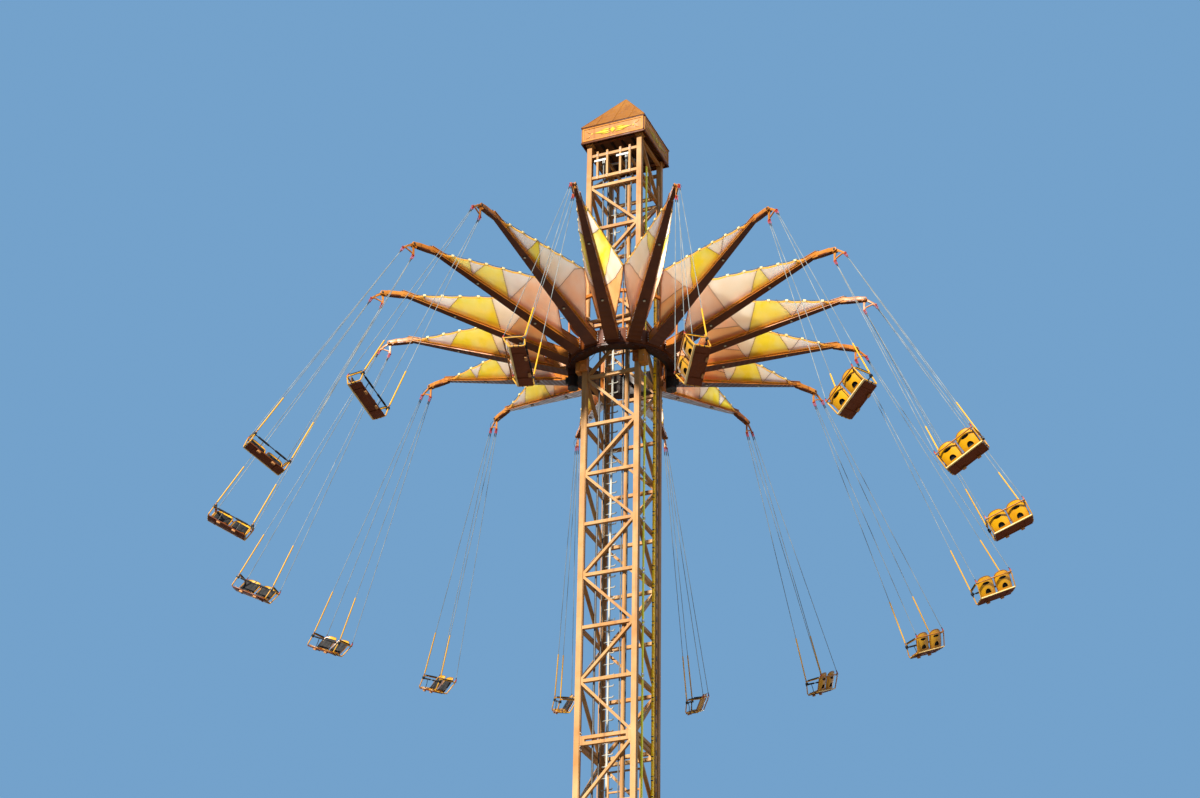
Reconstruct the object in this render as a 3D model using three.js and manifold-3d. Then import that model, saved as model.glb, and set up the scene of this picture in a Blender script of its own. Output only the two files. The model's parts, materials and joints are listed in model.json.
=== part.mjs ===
// Chair swing ride: a lattice mast with a lift carriage, a turning star of sixteen arms and
// sixteen two-seat chairs that fly outwards on cables. Millimetres, +Z up, origin on the
// flat underside of the ground frame, in the middle of the mast.

import * as THREE from 'three';
import { mergeVertices } from 'three/addons/utils/BufferGeometryUtils.js';
import Module from 'manifold-3d';

const wasm = await Module();
wasm.setup();

// Driving dimensions
const TOTAL_HEIGHT = 39600;
const GAP = 0.3;                    // between faces that touch on the real ride
const FLATNESS = 0.02;              // of surfaces whose needless edges are dropped
const MAST_HALF = 685;              // mast centre to the middle of a chord
const CHORD = 130;                  // square corner tube
const RAIL = 80;                    // square rail across a bay
const BRACE = 70;                   // width of the diagonal in a bay
const EDGE_STRIP = 10;              // flange of a braced side along its chords
const BASE_HEIGHT = 300;
const ARM_COUNT = 16;
const FIRST_ARM_DEG = 11.25;        // from -Y towards +X
const TIP_RADIUS = 6000;            // mast centre to a swing's pin
const TIP_PLANE = 32760;            // height of the arm tips in the stored pose
const SWING_OUT_DEG = 25.4;         // how far the chairs fly out from the vertical
const TRAIL_DEG = 2.9;              // how far they trail behind their pins

// Heights that follow from them
const ROOF_BASE = TIP_PLANE + 5520;
const FASCIA_BASE = TIP_PLANE + 5100;
const CHORD_TOP = FASCIA_BASE - 50;
const RING_BASE = TIP_PLANE - 1490;
const SPLICES = [TIP_PLANE - 400, TIP_PLANE - 11340, TIP_PLANE - 22280];
const SPLICE_HALF = 70;             // half the distance between the two rails of a splice
const BAY = 1328.5;
const FIRST_BAY = 1517;              // from a splice to the first rail below it
const BAYS = 7;                      // rails of a section below its splice
const HEAD_LEVELS = [TIP_PLANE + 3700, TIP_PLANE + 2400, TIP_PLANE + 1070];

const mm = (x, y, z) => new THREE.Vector3(x, y, z);
const rad = THREE.MathUtils.degToRad;

// Materials
const paint = (color, roughness = 0.5, metalness = 0.1) =>
  new THREE.MeshStandardMaterial({ color, roughness, metalness });
const CARAMEL = paint(0xcf9a5c);
const ORANGE = paint(0xc7761f);
const BROWN = paint(0x3a1c0c);
const BLACK = paint(0x141210, 0.4);
const STEEL = paint(0xa9aaa8, 0.4, 0.9);
const YELLOW = paint(0xf0c010, 0.35);
const LIME = paint(0xd6dc1e, 0.45);
const CANVAS = paint(0xe6c38a, 0.8, 0);

// Joins and cuts
function toSolid(geometry) {
  const bare = geometry.clone();
  bare.deleteAttribute('normal');
  bare.deleteAttribute('uv');
  const merged = mergeVertices(bare, 1e-3);
  return new wasm.Manifold(new wasm.Mesh({
    numProp: 3,
    vertProperties: new Float32Array(merged.attributes.position.array),
    triVerts: new Uint32Array(merged.index.array),
  }));
}

function toGeometry(solid) {
  const mesh = solid.asOriginal().simplify(FLATNESS).getMesh();
  const geometry = new THREE.BufferGeometry();
  geometry.setAttribute('position', new THREE.BufferAttribute(mesh.vertProperties, 3));
  geometry.setIndex(new THREE.BufferAttribute(mesh.triVerts, 1));
  return geometry;
}

const fuse = (geometries) =>
  toGeometry(geometries.map(toSolid).reduce((whole, next) => whole.add(next)));

const cut = (geometry, ...tools) =>
  toGeometry(tools.map(toSolid).reduce((left, tool) => left.subtract(tool), toSolid(geometry)));

// A box between two corners
function box(low, high) {
  const size = high.clone().sub(low);
  const geometry = new THREE.BoxGeometry(size.x, size.y, size.z);
  const middle = low.clone().add(high).multiplyScalar(0.5);
  return geometry.translate(middle.x, middle.y, middle.z);
}

// A straight bar from one point to another. Its section is spanned by two vectors, so its
// ends can be cut parallel to the face that they meet.
function bar(from, to, across, up) {
  const along = to.clone().sub(from);
  const sheared = new THREE.Matrix4().makeBasis(across, up, along);
  const middle = from.clone().add(to).multiplyScalar(0.5);
  const geometry = new THREE.BoxGeometry(1, 1, 1).applyMatrix4(sheared);
  if (sheared.determinant() < 0) geometry.index.array.reverse();
  return geometry.translate(middle.x, middle.y, middle.z);
}

// A flat plate from an outline in the plane of two vectors, with its thickness to both sides
function plate(outline, thickness, origin, across, up, holes = []) {
  const points = outline.map(([u, v]) => new THREE.Vector2(u, v));
  if (THREE.ShapeUtils.isClockWise(points)) points.reverse();
  const shape = new THREE.Shape(points);
  for (const hole of holes) {
    shape.holes.push(new THREE.Path(hole.map(([u, v]) => new THREE.Vector2(u, v))));
  }
  const geometry = new THREE.ExtrudeGeometry(shape, { depth: thickness, bevelEnabled: false });
  geometry.translate(0, 0, -thickness / 2);
  const normal = across.clone().cross(up);
  return geometry.applyMatrix4(new THREE.Matrix4().makeBasis(across, up, normal)
    .setPosition(origin));
}

// A ring about the Z axis
function ring(inner, outer, low, high, sides) {
  const profile = [[inner, low], [outer, low], [outer, high], [inner, high], [inner, low]];
  const geometry = new THREE.LatheGeometry(profile.map(([r, y]) => new THREE.Vector2(r, y)), sides);
  return geometry.rotateX(Math.PI / 2);
}

function cylinder(radius, from, to, sides, turn = 0) {
  const along = to.clone().sub(from);
  const geometry = new THREE.CylinderGeometry(radius, radius, along.length(), sides);
  geometry.rotateY(turn);
  geometry.applyQuaternion(new THREE.Quaternion()
    .setFromUnitVectors(mm(0, 1, 0), along.clone().normalize()));
  const middle = from.clone().add(to).multiplyScalar(0.5);
  return geometry.translate(middle.x, middle.y, middle.z);
}

// The lower and the upper corner of the box that two points span
const ordered = (a, b) => [a.clone().min(b), a.clone().max(b)];

const X = mm(1, 0, 0);
const Y = mm(0, 1, 0);
const Z = mm(0, 0, 1);
const CORNERS = [[1, -1], [1, 1], [-1, 1], [-1, -1]];     // front, right, rear, left
const ride = new THREE.Group();

function add(name, geometry, material, parent = ride) {
  const mesh = new THREE.Mesh(geometry, material);
  mesh.name = name;
  parent.add(mesh);
  return mesh;
}

// Ground frame: a steel grillage under the chords' foot plates, with raking struts to the mast
const FOOT_REACH = 2200;
const BEAM_HALF = 110;
const FOOT_PLATE = { half: 105, thickness: 30 };
const STRUT = { foot: 2050, sunk: 60, top: 2900, width: 90, height: 180 };
const SEAT_HALF = 90;                // of the beam and bearings under the rope roller
const BEARING = { x: 520, half: 40, cover: 60 };
const ROLLER_REACH = 540;
const SUNK = 10;                     // how far a piece goes into the one that it is welded to
const CHORD_FACE = MAST_HALF + CHORD / 2;

function groundFrame() {
  const pieces = [-MAST_HALF, 0, MAST_HALF].flatMap((at) => [
    box(mm(-FOOT_REACH, at - BEAM_HALF, 0), mm(FOOT_REACH, at + BEAM_HALF, BASE_HEIGHT)),
    box(mm(at - BEAM_HALF, -FOOT_REACH, 0), mm(at + BEAM_HALF, FOOT_REACH, BASE_HEIGHT)),
  ]);
  const up = Z.clone().multiplyScalar(STRUT.height);
  const low = BASE_HEIGHT - STRUT.sunk;
  const { half, thickness } = FOOT_PLATE;
  for (const end of [-1, 1]) {
    const foot = end * STRUT.foot;
    const top = end * (CHORD_FACE + GAP);
    const x = end * MAST_HALF;
    for (const at of [-MAST_HALF, MAST_HALF]) {
      pieces.push(bar(mm(foot, at, low), mm(top, at, STRUT.top),
        Y.clone().multiplyScalar(STRUT.width), up));
      pieces.push(bar(mm(at, foot, low), mm(at, top, STRUT.top),
        X.clone().multiplyScalar(STRUT.width), up));
      pieces.push(box(mm(x - half, at - half, BASE_HEIGHT - SUNK),
        mm(x + half, at + half, BASE_HEIGHT + thickness)));
    }
  }
  // bearings and roller that turn the hoist ropes at the bottom
  pieces.push(box(mm(-MAST_HALF, ROPE_Y - SEAT_HALF, 0), mm(MAST_HALF, ROPE_Y + SEAT_HALF, BASE_HEIGHT)));
  for (const x of [-BEARING.x, BEARING.x]) {
    pieces.push(box(mm(x - BEARING.half, ROPE_Y - SEAT_HALF, BASE_HEIGHT - SUNK),
      mm(x + BEARING.half, ROPE_Y + SEAT_HALF, ROPE_LOW + BEARING.cover)));
  }
  pieces.push(cylinder(SHEAVE_RADIUS, mm(-ROLLER_REACH, ROPE_Y, ROPE_LOW),
    mm(ROLLER_REACH, ROPE_Y, ROPE_LOW), 16));
  return fuse(pieces);
}

// Hoist: grooved wheels under the roof, rope loops down the mast, a roller at the foot
const SHEAVE_RADIUS = 165;
const SHEAVE_X = [-333, 289];
const ROPE_Y = -450;
const ROPE_HIGH = TIP_PLANE + 4490;
const ROPE_LOW = 800;
const ROPE = 24;
const ROPE_PLAY = 0.4;               // between a rope and the groove that it lies in
const SHAFT = { radius: 30, from: -500, to: 452 };
const GROOVE_HALF = 14;
const RIM = { height: 30, at: 22, half: 8 };

function ropeLoop(x) {
  const steps = 8;
  const outline = (radius) => [0, 1].flatMap((half) =>
    Array.from({ length: steps + 1 }, (_, k) => {
      const angle = Math.PI * (half + k / steps);
      return [radius * Math.cos(angle), radius * Math.sin(angle) + (half ? ROPE_LOW : ROPE_HIGH)];
    }));
  const inner = SHEAVE_RADIUS + ROPE_PLAY;
  return plate(outline(inner + ROPE), ROPE, mm(x, ROPE_Y, 0), Y, Z, [outline(inner)]);
}

function headSheaves() {
  const disc = (radius, x, half) =>
    cylinder(radius, mm(x - half, ROPE_Y, ROPE_HIGH), mm(x + half, ROPE_Y, ROPE_HIGH), 16);
  const shaft = cylinder(SHAFT.radius, mm(SHAFT.from, ROPE_Y, ROPE_HIGH),
    mm(SHAFT.to, ROPE_Y, ROPE_HIGH), 8, rad(22.5));
  const wheels = SHEAVE_X.flatMap((x) => [
    disc(SHEAVE_RADIUS, x, GROOVE_HALF),
    disc(SHEAVE_RADIUS + RIM.height, x - RIM.at, RIM.half),
    disc(SHEAVE_RADIUS + RIM.height, x + RIM.at, RIM.half),
  ]);
  return fuse([shaft, ...wheels]);
}

// Mast: four corner chords, from the foot plates to the cap plates, and four braced sides
const CAP_PLATE = { half: 95, thickness: 40 };

function chord(cornerX, cornerY) {
  const half = CHORD / 2;
  const x = cornerX * MAST_HALF;
  const y = cornerY * MAST_HALF;
  return box(mm(x - half, y - half, BASE_HEIGHT + FOOT_PLATE.thickness + GAP),
    mm(x + half, y + half, CHORD_TOP - CAP_PLATE.thickness - GAP));
}

// Every rail height of the mast from the top down, as the rails' [upper, lower] heights
function mastLevels() {
  const single = (z) => [z, z];
  const levels = HEAD_LEVELS.map(single);
  for (const splice of SPLICES) {
    levels.push([splice + SPLICE_HALF, splice - SPLICE_HALF]);
    for (let k = 0; k < BAYS; k += 1) levels.push(single(splice - FIRST_BAY - k * BAY));
  }
  return levels;
}

// One braced side, drawn on the -Y side as a plate whose windows leave the rails and one
// diagonal in each bay. The diagonals of neighbouring sides mirror each other.
const SPLICE_MARGIN = 120;           // from a side's edge to the window between a splice's rails
const HEAD_RAIL_DROP = 110;          // from the chords' top to the rail of the head bay

function mastSide(mirrored, hasHeadBay) {
  const reach = MAST_HALF - CHORD / 2 - GAP;
  const edge = reach - EDGE_STRIP;
  const levels = mastLevels();
  if (hasHeadBay) levels.unshift([CHORD_TOP - HEAD_RAIL_DROP, CHORD_TOP - HEAD_RAIL_DROP]);
  const windows = [];
  levels.forEach(([upper, lower], k) => {
    if (upper !== lower) {
      const margin = reach - SPLICE_MARGIN;
      windows.push([[-margin, lower + RAIL / 2], [margin, lower + RAIL / 2],
        [margin, upper - RAIL / 2], [-margin, upper - RAIL / 2]]);
    }
    if (k + 1 === levels.length) return;
    const top = lower - RAIL / 2;
    const bottom = levels[k + 1][0] + RAIL / 2;
    const fromLeft = (k % 2 === 0) !== hasHeadBay;
    const side = fromLeft !== mirrored ? -1 : 1;      // where the diagonal's upper end is
    const slope = (top - bottom) / (2 * reach);
    const rise = BRACE * Math.hypot(1, slope) / 2;
    const corner = reach - rise / slope;
    windows.push([[side * corner, top], [-side * edge, top], [-side * edge, bottom + rise]]);
    windows.push([[-side * corner, bottom], [side * edge, bottom], [side * edge, top - rise]]);
  });
  const ends = [levels[0][0] + RAIL / 2, levels[levels.length - 1][1] - RAIL / 2];
  const outline = [[-reach, ends[1]], [reach, ends[1]], [reach, ends[0]], [-reach, ends[0]]];
  return plate(outline, RAIL, mm(0, -MAST_HALF, 0), X, Z, windows);
}

// Head frame: rails and uprights that carry the wheels under the roof
const HEAD_RAILS = [TIP_PLANE + 3986, TIP_PLANE + 4667];
const UPRIGHTS_X = [-466, -200, 160, 418];
const HEAD_RAIL = { half: 35, rise: 40 };
const UPRIGHT = { half: 28, outwards: 50, inwards: 20, below: 60, above: 110 };
const CRADLE = { half: 22, height: 90 };

function headFrame() {
  const reach = MAST_HALF - CHORD / 2 - GAP;
  const shaftFoot = ROPE_HIGH - SHAFT.radius * Math.cos(rad(22.5)) - GAP;
  const [lower, upper] = HEAD_RAILS;
  const pieces = [];
  for (const y of [-MAST_HALF, MAST_HALF]) {
    for (const z of HEAD_RAILS) {
      pieces.push(box(mm(-reach, y - HEAD_RAIL.half, z - HEAD_RAIL.rise),
        mm(reach, y + HEAD_RAIL.half, z + HEAD_RAIL.rise)));
    }
    for (const x of UPRIGHTS_X) {
      pieces.push(box(mm(x - UPRIGHT.half, y - UPRIGHT.outwards, lower - UPRIGHT.below),
        mm(x + UPRIGHT.half, y + UPRIGHT.inwards, upper + UPRIGHT.above)));
    }
  }
  for (const x of UPRIGHTS_X) {
    pieces.push(box(mm(x - CRADLE.half, -MAST_HALF, shaftFoot - CRADLE.height),
      mm(x + CRADLE.half, MAST_HALF, shaftFoot)));
  }
  return fuse(pieces);
}

// Roof: a hollow pyramid on a square fascia, whose beams lie on the chords with cap plates
const FASCIA_HALF = 860;
const FASCIA_WALL = 60;
const ROOF_BEAM = { half: 45, height: 120, into: 30 };
const EAVES = 25;                    // of the pyramid beyond the fascia
const ROOF_WALL = 45;
const BEYOND = 20;                   // how far a cutting solid passes the face that it cuts

function roofFascia() {
  const inner = FASCIA_HALF - FASCIA_WALL;
  const top = ROOF_BASE - GAP;
  const shell = cut(box(mm(-FASCIA_HALF, -FASCIA_HALF, FASCIA_BASE), mm(FASCIA_HALF, FASCIA_HALF, top)),
    box(mm(-inner, -inner, FASCIA_BASE - BEYOND), mm(inner, inner, top + BEYOND)));
  const reach = inner + ROOF_BEAM.into;
  const high = CHORD_TOP + ROOF_BEAM.height;
  const { half, thickness } = CAP_PLATE;
  const beams = [-MAST_HALF, MAST_HALF].flatMap((at) => [
    box(mm(-reach, at - ROOF_BEAM.half, CHORD_TOP), mm(reach, at + ROOF_BEAM.half, high)),
    box(mm(at - ROOF_BEAM.half, -reach, CHORD_TOP), mm(at + ROOF_BEAM.half, reach, high)),
    ...[-MAST_HALF, MAST_HALF].map((x) => box(mm(x - half, at - half, CHORD_TOP - thickness),
      mm(x + half, at + half, CHORD_TOP + SUNK))),
  ]);
  return fuse([shell, ...beams]);
}

function pyramid(half, low, high) {
  const geometry = new THREE.ConeGeometry(half * Math.SQRT2, high - low, 4);
  return geometry.rotateY(Math.PI / 4).rotateX(Math.PI / 2).translate(0, 0, (low + high) / 2);
}

function roofCap() {
  const half = FASCIA_HALF + EAVES;
  const slope = (TOTAL_HEIGHT - ROOF_BASE) / half;
  return cut(pyramid(half, ROOF_BASE, TOTAL_HEIGHT),
    pyramid(half - ROOF_WALL + BEYOND / slope, ROOF_BASE - BEYOND, TOTAL_HEIGHT - ROOF_WALL * slope));
}

// Fittings along the mast
const RAIL_INSIDE = MAST_HALF - RAIL / 2 - GAP;
const RAIL_OUTSIDE = MAST_HALF + RAIL / 2 + GAP;
const FITTING_LOW = BASE_HEIGHT + 350;
const FITTING_HIGH = 36900;
const LADDER = { x: -460, y: 500, half: 22.5, bracketHalf: 20, bracketEvery: 4 };

function ladderStile() {
  const { x, y, half, bracketHalf, bracketEvery } = LADDER;
  const pieces = [box(mm(x - half, y - half, FITTING_LOW), mm(x + half, y + half, FITTING_HIGH))];
  mastLevels().filter((_, k) => k % bracketEvery === 0).forEach(([z]) => {
    pieces.push(box(mm(x - bracketHalf, y, z - bracketHalf),
      mm(x + bracketHalf, RAIL_INSIDE, z + bracketHalf)));
  });
  return fuse(pieces);
}

// Maintenance platform inside the mast, with a handrail
const DECK = { left: -240, right: 580, below: 20, above: 25 };
const HANDRAIL = { half: 20, height: 980, knee: 500, thickness: 36, inset: 2 };

function platform() {
  const floor = SPLICES[1] - FIRST_BAY;
  const { half, height, knee, thickness, inset } = HANDRAIL;
  const pieces = [box(mm(DECK.left, 0, floor - DECK.below),
    mm(DECK.right, RAIL_INSIDE, floor + DECK.above))];
  for (const x of [DECK.left + half, DECK.right - half]) {
    pieces.push(box(mm(x - half, 0, floor), mm(x + half, 2 * half, floor + height + half)));
  }
  for (const z of [floor + knee, floor + height]) {
    pieces.push(box(mm(DECK.left, inset, z - half), mm(DECK.right, inset + thickness, z + half)));
  }
  return fuse(pieces);
}

// Lift carriage: a ring round the mast with guide shoes on the chords and two slewing drives
const RING_INNER = 1085;
const DRUM = { outer: 1200, height: 560 };
const FLANGE = { outer: 1340, thickness: 60 };
const SHOE = { clearance: 8, reach: 85, height: 300, lows: [-250, 500] };
const WHEEL = { radius: 55, half: 45 };
const DRIVE = { degrees: [112.5, 292.5], at: 1200, radius: 120, low: -480 };
const DRIVE_PLATE = { inner: 1080, outer: 1330, half: 150, low: -160 };

function carriage() {
  const drum = [[RING_INNER, 0], [FLANGE.outer, 0], [FLANGE.outer, FLANGE.thickness],
    [DRUM.outer, FLANGE.thickness], [DRUM.outer, DRUM.height], [RING_INNER, DRUM.height],
    [RING_INNER, 0]];
  const pieces = [new THREE.LatheGeometry(drum.map(([r, y]) => new THREE.Vector2(r, y)), 24)
    .rotateX(Math.PI / 2).translate(0, 0, RING_BASE)];
  const near = CHORD_FACE + SHOE.clearance;
  const far = CHORD_FACE + SHOE.reach;
  const inner = MAST_HALF - SHOE.reach;
  const axle = CHORD_FACE + GAP + WHEEL.radius;
  const [start, end] = [MAST_HALF - WHEEL.half, MAST_HALF + WHEEL.half];
  for (const low of SHOE.lows.map((rise) => RING_BASE + rise)) {
    const high = low + SHOE.height;
    const middle = low + SHOE.height / 2;
    for (const [sx, sy] of CORNERS) {
      pieces.push(box(...ordered(mm(sx * inner, sy * near, low), mm(sx * far, sy * far, high))));
      pieces.push(box(...ordered(mm(sx * near, sy * inner, low), mm(sx * far, sy * far, high))));
      const wheel = (from, to) => cylinder(WHEEL.radius, from, to, 8);
      pieces.push(wheel(mm(sx * start, sy * axle, middle), mm(sx * end, sy * axle, middle)));
      pieces.push(wheel(mm(sx * axle, sy * start, middle), mm(sx * axle, sy * end, middle)));
    }
  }
  for (const degrees of DRIVE.degrees) {
    const turn = new THREE.Matrix4().makeRotationZ(rad(degrees - 90));
    const { inner: from, outer: to, half, low } = DRIVE_PLATE;
    pieces.push(cylinder(DRIVE.radius, mm(DRIVE.at, 0, RING_BASE + DRIVE.low),
      mm(DRIVE.at, 0, RING_BASE + SUNK), 10).applyMatrix4(turn));
    pieces.push(box(mm(from, -half, RING_BASE + low), mm(to, half, RING_BASE + SUNK)).applyMatrix4(turn));
  }
  return fuse(pieces);
}

// Turning star: a slewing hub, sixteen tapering arms with forked tips, and an upper ring
const HUB = { inner: 1260, outer: 1350, height: 380 };
const HUB_BASE = RING_BASE + FLANGE.thickness + GAP;
const ARM = {
  rootRadius: 1270, rootLow: TIP_PLANE - 1404, rootHeight: 260, rootWidth: 350,
  bendRadius: 5500, bendLow: TIP_PLANE - 30, bendHeight: 125, bendWidth: 120,
};
const PIN_RADIUS = 20;
const PIN_SIDES = 8;
const PIN_Z = TIP_PLANE - 40;
const FORK = { inside: 60, height: 125, below: 38, neckHalf: 52, neckEnd: 160, notch: 110, nose: 55 };
const CHEEK = 20;
const CHEEK_INNER = 42;
const UPPER_RING = { radius: 1340, half: 35, z: TIP_PLANE + 40, below: 50, above: 30 };
const KNOT = { radius: 2500, z: TIP_PLANE + 40 };   // where the sails of two arms meet
const POST = { foot: 1305, width: 45, sunk: 80 };
const STAY = { width: 14, short: 75 };

const armAt = (index) => new THREE.Matrix4()
  .makeRotationZ(rad(FIRST_ARM_DEG + index * 360 / ARM_COUNT - 90));

// Height, width and underside of an arm at a radius
function armSection(radius) {
  const share = (radius - ARM.rootRadius) / (ARM.bendRadius - ARM.rootRadius);
  const mix = (a, b) => a + (b - a) * share;
  const low = mix(ARM.rootLow, ARM.bendLow);
  const height = mix(ARM.rootHeight, ARM.bendHeight);
  return { low, top: low + height, half: mix(ARM.rootWidth, ARM.bendWidth) / 2 };
}

function arm() {
  const tapered = new THREE.BoxGeometry(1, 1, 1);
  const at = tapered.attributes.position;
  for (let k = 0; k < at.count; k += 1) {
    const radius = at.getX(k) < 0 ? ARM.rootRadius : ARM.bendRadius;
    const { low, top, half } = armSection(radius);
    at.setXYZ(k, radius, Math.sign(at.getY(k)) * half, at.getZ(k) < 0 ? low : top);
  }
  const outer = CHEEK_INNER + CHEEK;
  const { inside, height, below, neckHalf, neckEnd, notch, nose } = FORK;
  const half = [[ARM.bendRadius - inside, neckHalf], [TIP_RADIUS - neckEnd, neckHalf],
    [TIP_RADIUS - neckEnd, outer], [TIP_RADIUS + nose, outer], [TIP_RADIUS + nose, CHEEK_INNER],
    [TIP_RADIUS - notch, CHEEK_INNER]];
  const fork = plate([...half, ...half.map(([x, y]) => [x, -y]).reverse()], height,
    mm(0, 0, PIN_Z + height / 2 - below), X, Y);
  const reach = CHEEK_INNER + CHEEK / 2;
  const pin = cylinder(PIN_RADIUS, mm(TIP_RADIUS, -reach, PIN_Z), mm(TIP_RADIUS, reach, PIN_Z),
    PIN_SIDES, Math.PI / PIN_SIDES);
  return [tapered, fork, pin];
}

function armStar() {
  const { radius, half, z, below, above } = UPPER_RING;
  const pieces = [
    ring(HUB.inner, HUB.outer, HUB_BASE, HUB_BASE + HUB.height, 32),
    ring(radius - half, radius + half, z - below, z + above, 16),
  ];
  for (let index = 0; index < ARM_COUNT; index += 1) {
    const turn = armAt(index);
    pieces.push(...arm().map((piece) => piece.applyMatrix4(turn)));
    const between = turn.clone().multiply(new THREE.Matrix4().makeRotationZ(Math.PI / ARM_COUNT));
    pieces.push(bar(mm(radius, 0, z), mm(KNOT.radius - STAY.short, 0, KNOT.z),
      Y.clone().multiplyScalar(STAY.width), Z.clone().multiplyScalar(STAY.width)).applyMatrix4(between));
    if (index % 2 === 0) {
      const foot = mm(POST.foot, 0, HUB_BASE + HUB.height - POST.sunk);
      pieces.push(bar(foot, mm(radius, 0, z), Y.clone().multiplyScalar(POST.width),
        X.clone().multiplyScalar(POST.width)).applyMatrix4(between));
    }
  }
  return fuse(pieces);
}

// Sails: on each arm two canvas panels rise in a steep V from the arm's top edges to the
// knots halfway to the neighbouring arms
const SAIL = 8;
const SAIL_TIP = 5380;
const SAIL_ROOT = 1700;
const SAIL_EDGE = [[2000, 0.2], [2300, 0.5]];     // radius and height share along the inner edge
const KNOT_INSET = 12;               // of each sail's knot corner from the line between two arms
const FOOT_STRIP = { half: 5, beside: 3 };        // of the canvas that joins an arm's two sails
const KNOT_BLOCK = { inner: 40, outer: 25, half: 35, low: -32, high: -4 };

function sail(side) {
  const lift = SAIL / 2;
  const onArm = (radius) => {
    const { top, half } = armSection(radius);
    return mm(radius, side * half, top + lift);
  };
  const halfway = Math.PI / ARM_COUNT;
  const knot = mm(KNOT.radius * Math.cos(halfway), side * (KNOT.radius * Math.sin(halfway) - KNOT_INSET),
    KNOT.z);
  const root = onArm(SAIL_ROOT);
  const tip = onArm(SAIL_TIP);
  const across = tip.clone().sub(root).normalize();
  const rise = knot.clone().sub(root);
  const up = rise.clone().sub(across.clone().multiplyScalar(rise.dot(across))).normalize();
  const flat = (point) => {
    const from = point.clone().sub(root);
    return [from.dot(across), from.dot(up)];
  };
  const knotFoot = onArm(knot.x);
  const inner = SAIL_EDGE.map(([radius, share]) =>
    flat(onArm(radius).add(knot.clone().sub(knotFoot).multiplyScalar(share))));
  const outline = [[0, 0], flat(tip), flat(knot), ...inner.reverse()];
  return plate(outline, SAIL, root, across, up);
}

// The strip of canvas on top of an arm, as wide as the arm is at each end
function footStrip() {
  const rise = GAP + FOOT_STRIP.half;
  const [low, high] = [armSection(SAIL_ROOT), armSection(SAIL_TIP)];
  const strip = bar(mm(SAIL_ROOT, 0, low.top + rise), mm(SAIL_TIP, 0, high.top + rise),
    Y, Z.clone().multiplyScalar(2 * FOOT_STRIP.half));
  const at = strip.attributes.position;
  for (let k = 0; k < at.count; k += 1) {
    const { half } = armSection(at.getX(k));
    at.setY(k, Math.sign(at.getY(k)) * (half + FOOT_STRIP.beside));
  }
  return strip;
}

function sailGroup(first) {
  const pieces = [];
  const { inner, outer, half, low, high } = KNOT_BLOCK;
  for (let index = first; index < first + 4; index += 1) {
    const turn = armAt(index);
    pieces.push(...[footStrip(), sail(1), sail(-1)].map((piece) => piece.applyMatrix4(turn)));
    if (index < first + 3) {
      const between = turn.clone().multiply(new THREE.Matrix4().makeRotationZ(Math.PI / ARM_COUNT));
      pieces.push(box(mm(KNOT.radius - inner, -half, KNOT.z + low),
        mm(KNOT.radius + outer, half, KNOT.z + high)).applyMatrix4(between));
    }
  }
  return fuse(pieces);
}

// Swing: a triangular yoke on the arm's pin, four cables and a two-seat chair. Drawn hanging
// straight down from the pin: X points away from the mast, Y the way that the chairs travel.
const YOKE = { prongX: 150, prongZ: -265, thickness: 50 };
const CHAIR = {
  half: 488, tube: 34, seatZ: -7350, rearY: -60, frontY: 275,
  topRearY: -250, topFrontY: 205, topZ: -7016,
};
const CABLE = 16;
const SLEEVE = 34;
const SLEEVE_SHARE = 0.17;           // of the length of a front cable

function hanger() {
  const bore = (PIN_RADIUS + 0.4) / Math.cos(Math.PI / PIN_SIDES);
  const hole = Array.from({ length: PIN_SIDES }, (_, k) => {
    const angle = (k + 0.5) * 2 * Math.PI / PIN_SIDES;
    return [bore * Math.cos(angle), bore * Math.sin(angle)];
  });
  const { prongX, prongZ, thickness } = YOKE;
  const outline = [[-36, 42], [36, 42], [prongX + 32, prongZ - 30], [prongX - 35, prongZ - 30],
    [prongX - 48, prongZ + 30], [-prongX + 48, prongZ + 30], [-prongX + 35, prongZ - 30],
    [-prongX - 32, prongZ - 30]];
  const window = [[0, -75], [70, prongZ + 75], [-70, prongZ + 75]];
  const pieces = [plate(outline, thickness, mm(0, 0, 0), X, Z, [hole, window])];
  for (const side of [-1, 1]) {
    const from = mm(side * prongX, 0, prongZ - 20);
    const along = Y.clone().applyAxisAngle(X, rad(-TRAIL_DEG));
    for (const y of [CHAIR.topFrontY, CHAIR.topRearY]) {
      const start = from.clone().setY(Math.sign(y) * 14);
      const end = mm(side * CHAIR.half, y, CHAIR.topZ + CHAIR.tube / 2 + GAP)
        .applyAxisAngle(X, rad(-TRAIL_DEG));
      const stretch = (low, high, width) =>
        bar(start.clone().lerp(end, low), start.clone().lerp(end, high),
          X.clone().multiplyScalar(width), along.clone().multiplyScalar(width));
      const bare = y > 0 ? 1 - SLEEVE_SHARE : 1;
      pieces.push(stretch(0, bare, CABLE));
      if (y > 0) pieces.push(stretch(bare - 0.001, 1, SLEEVE));
    }
  }
  return fuse(pieces);
}

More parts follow.
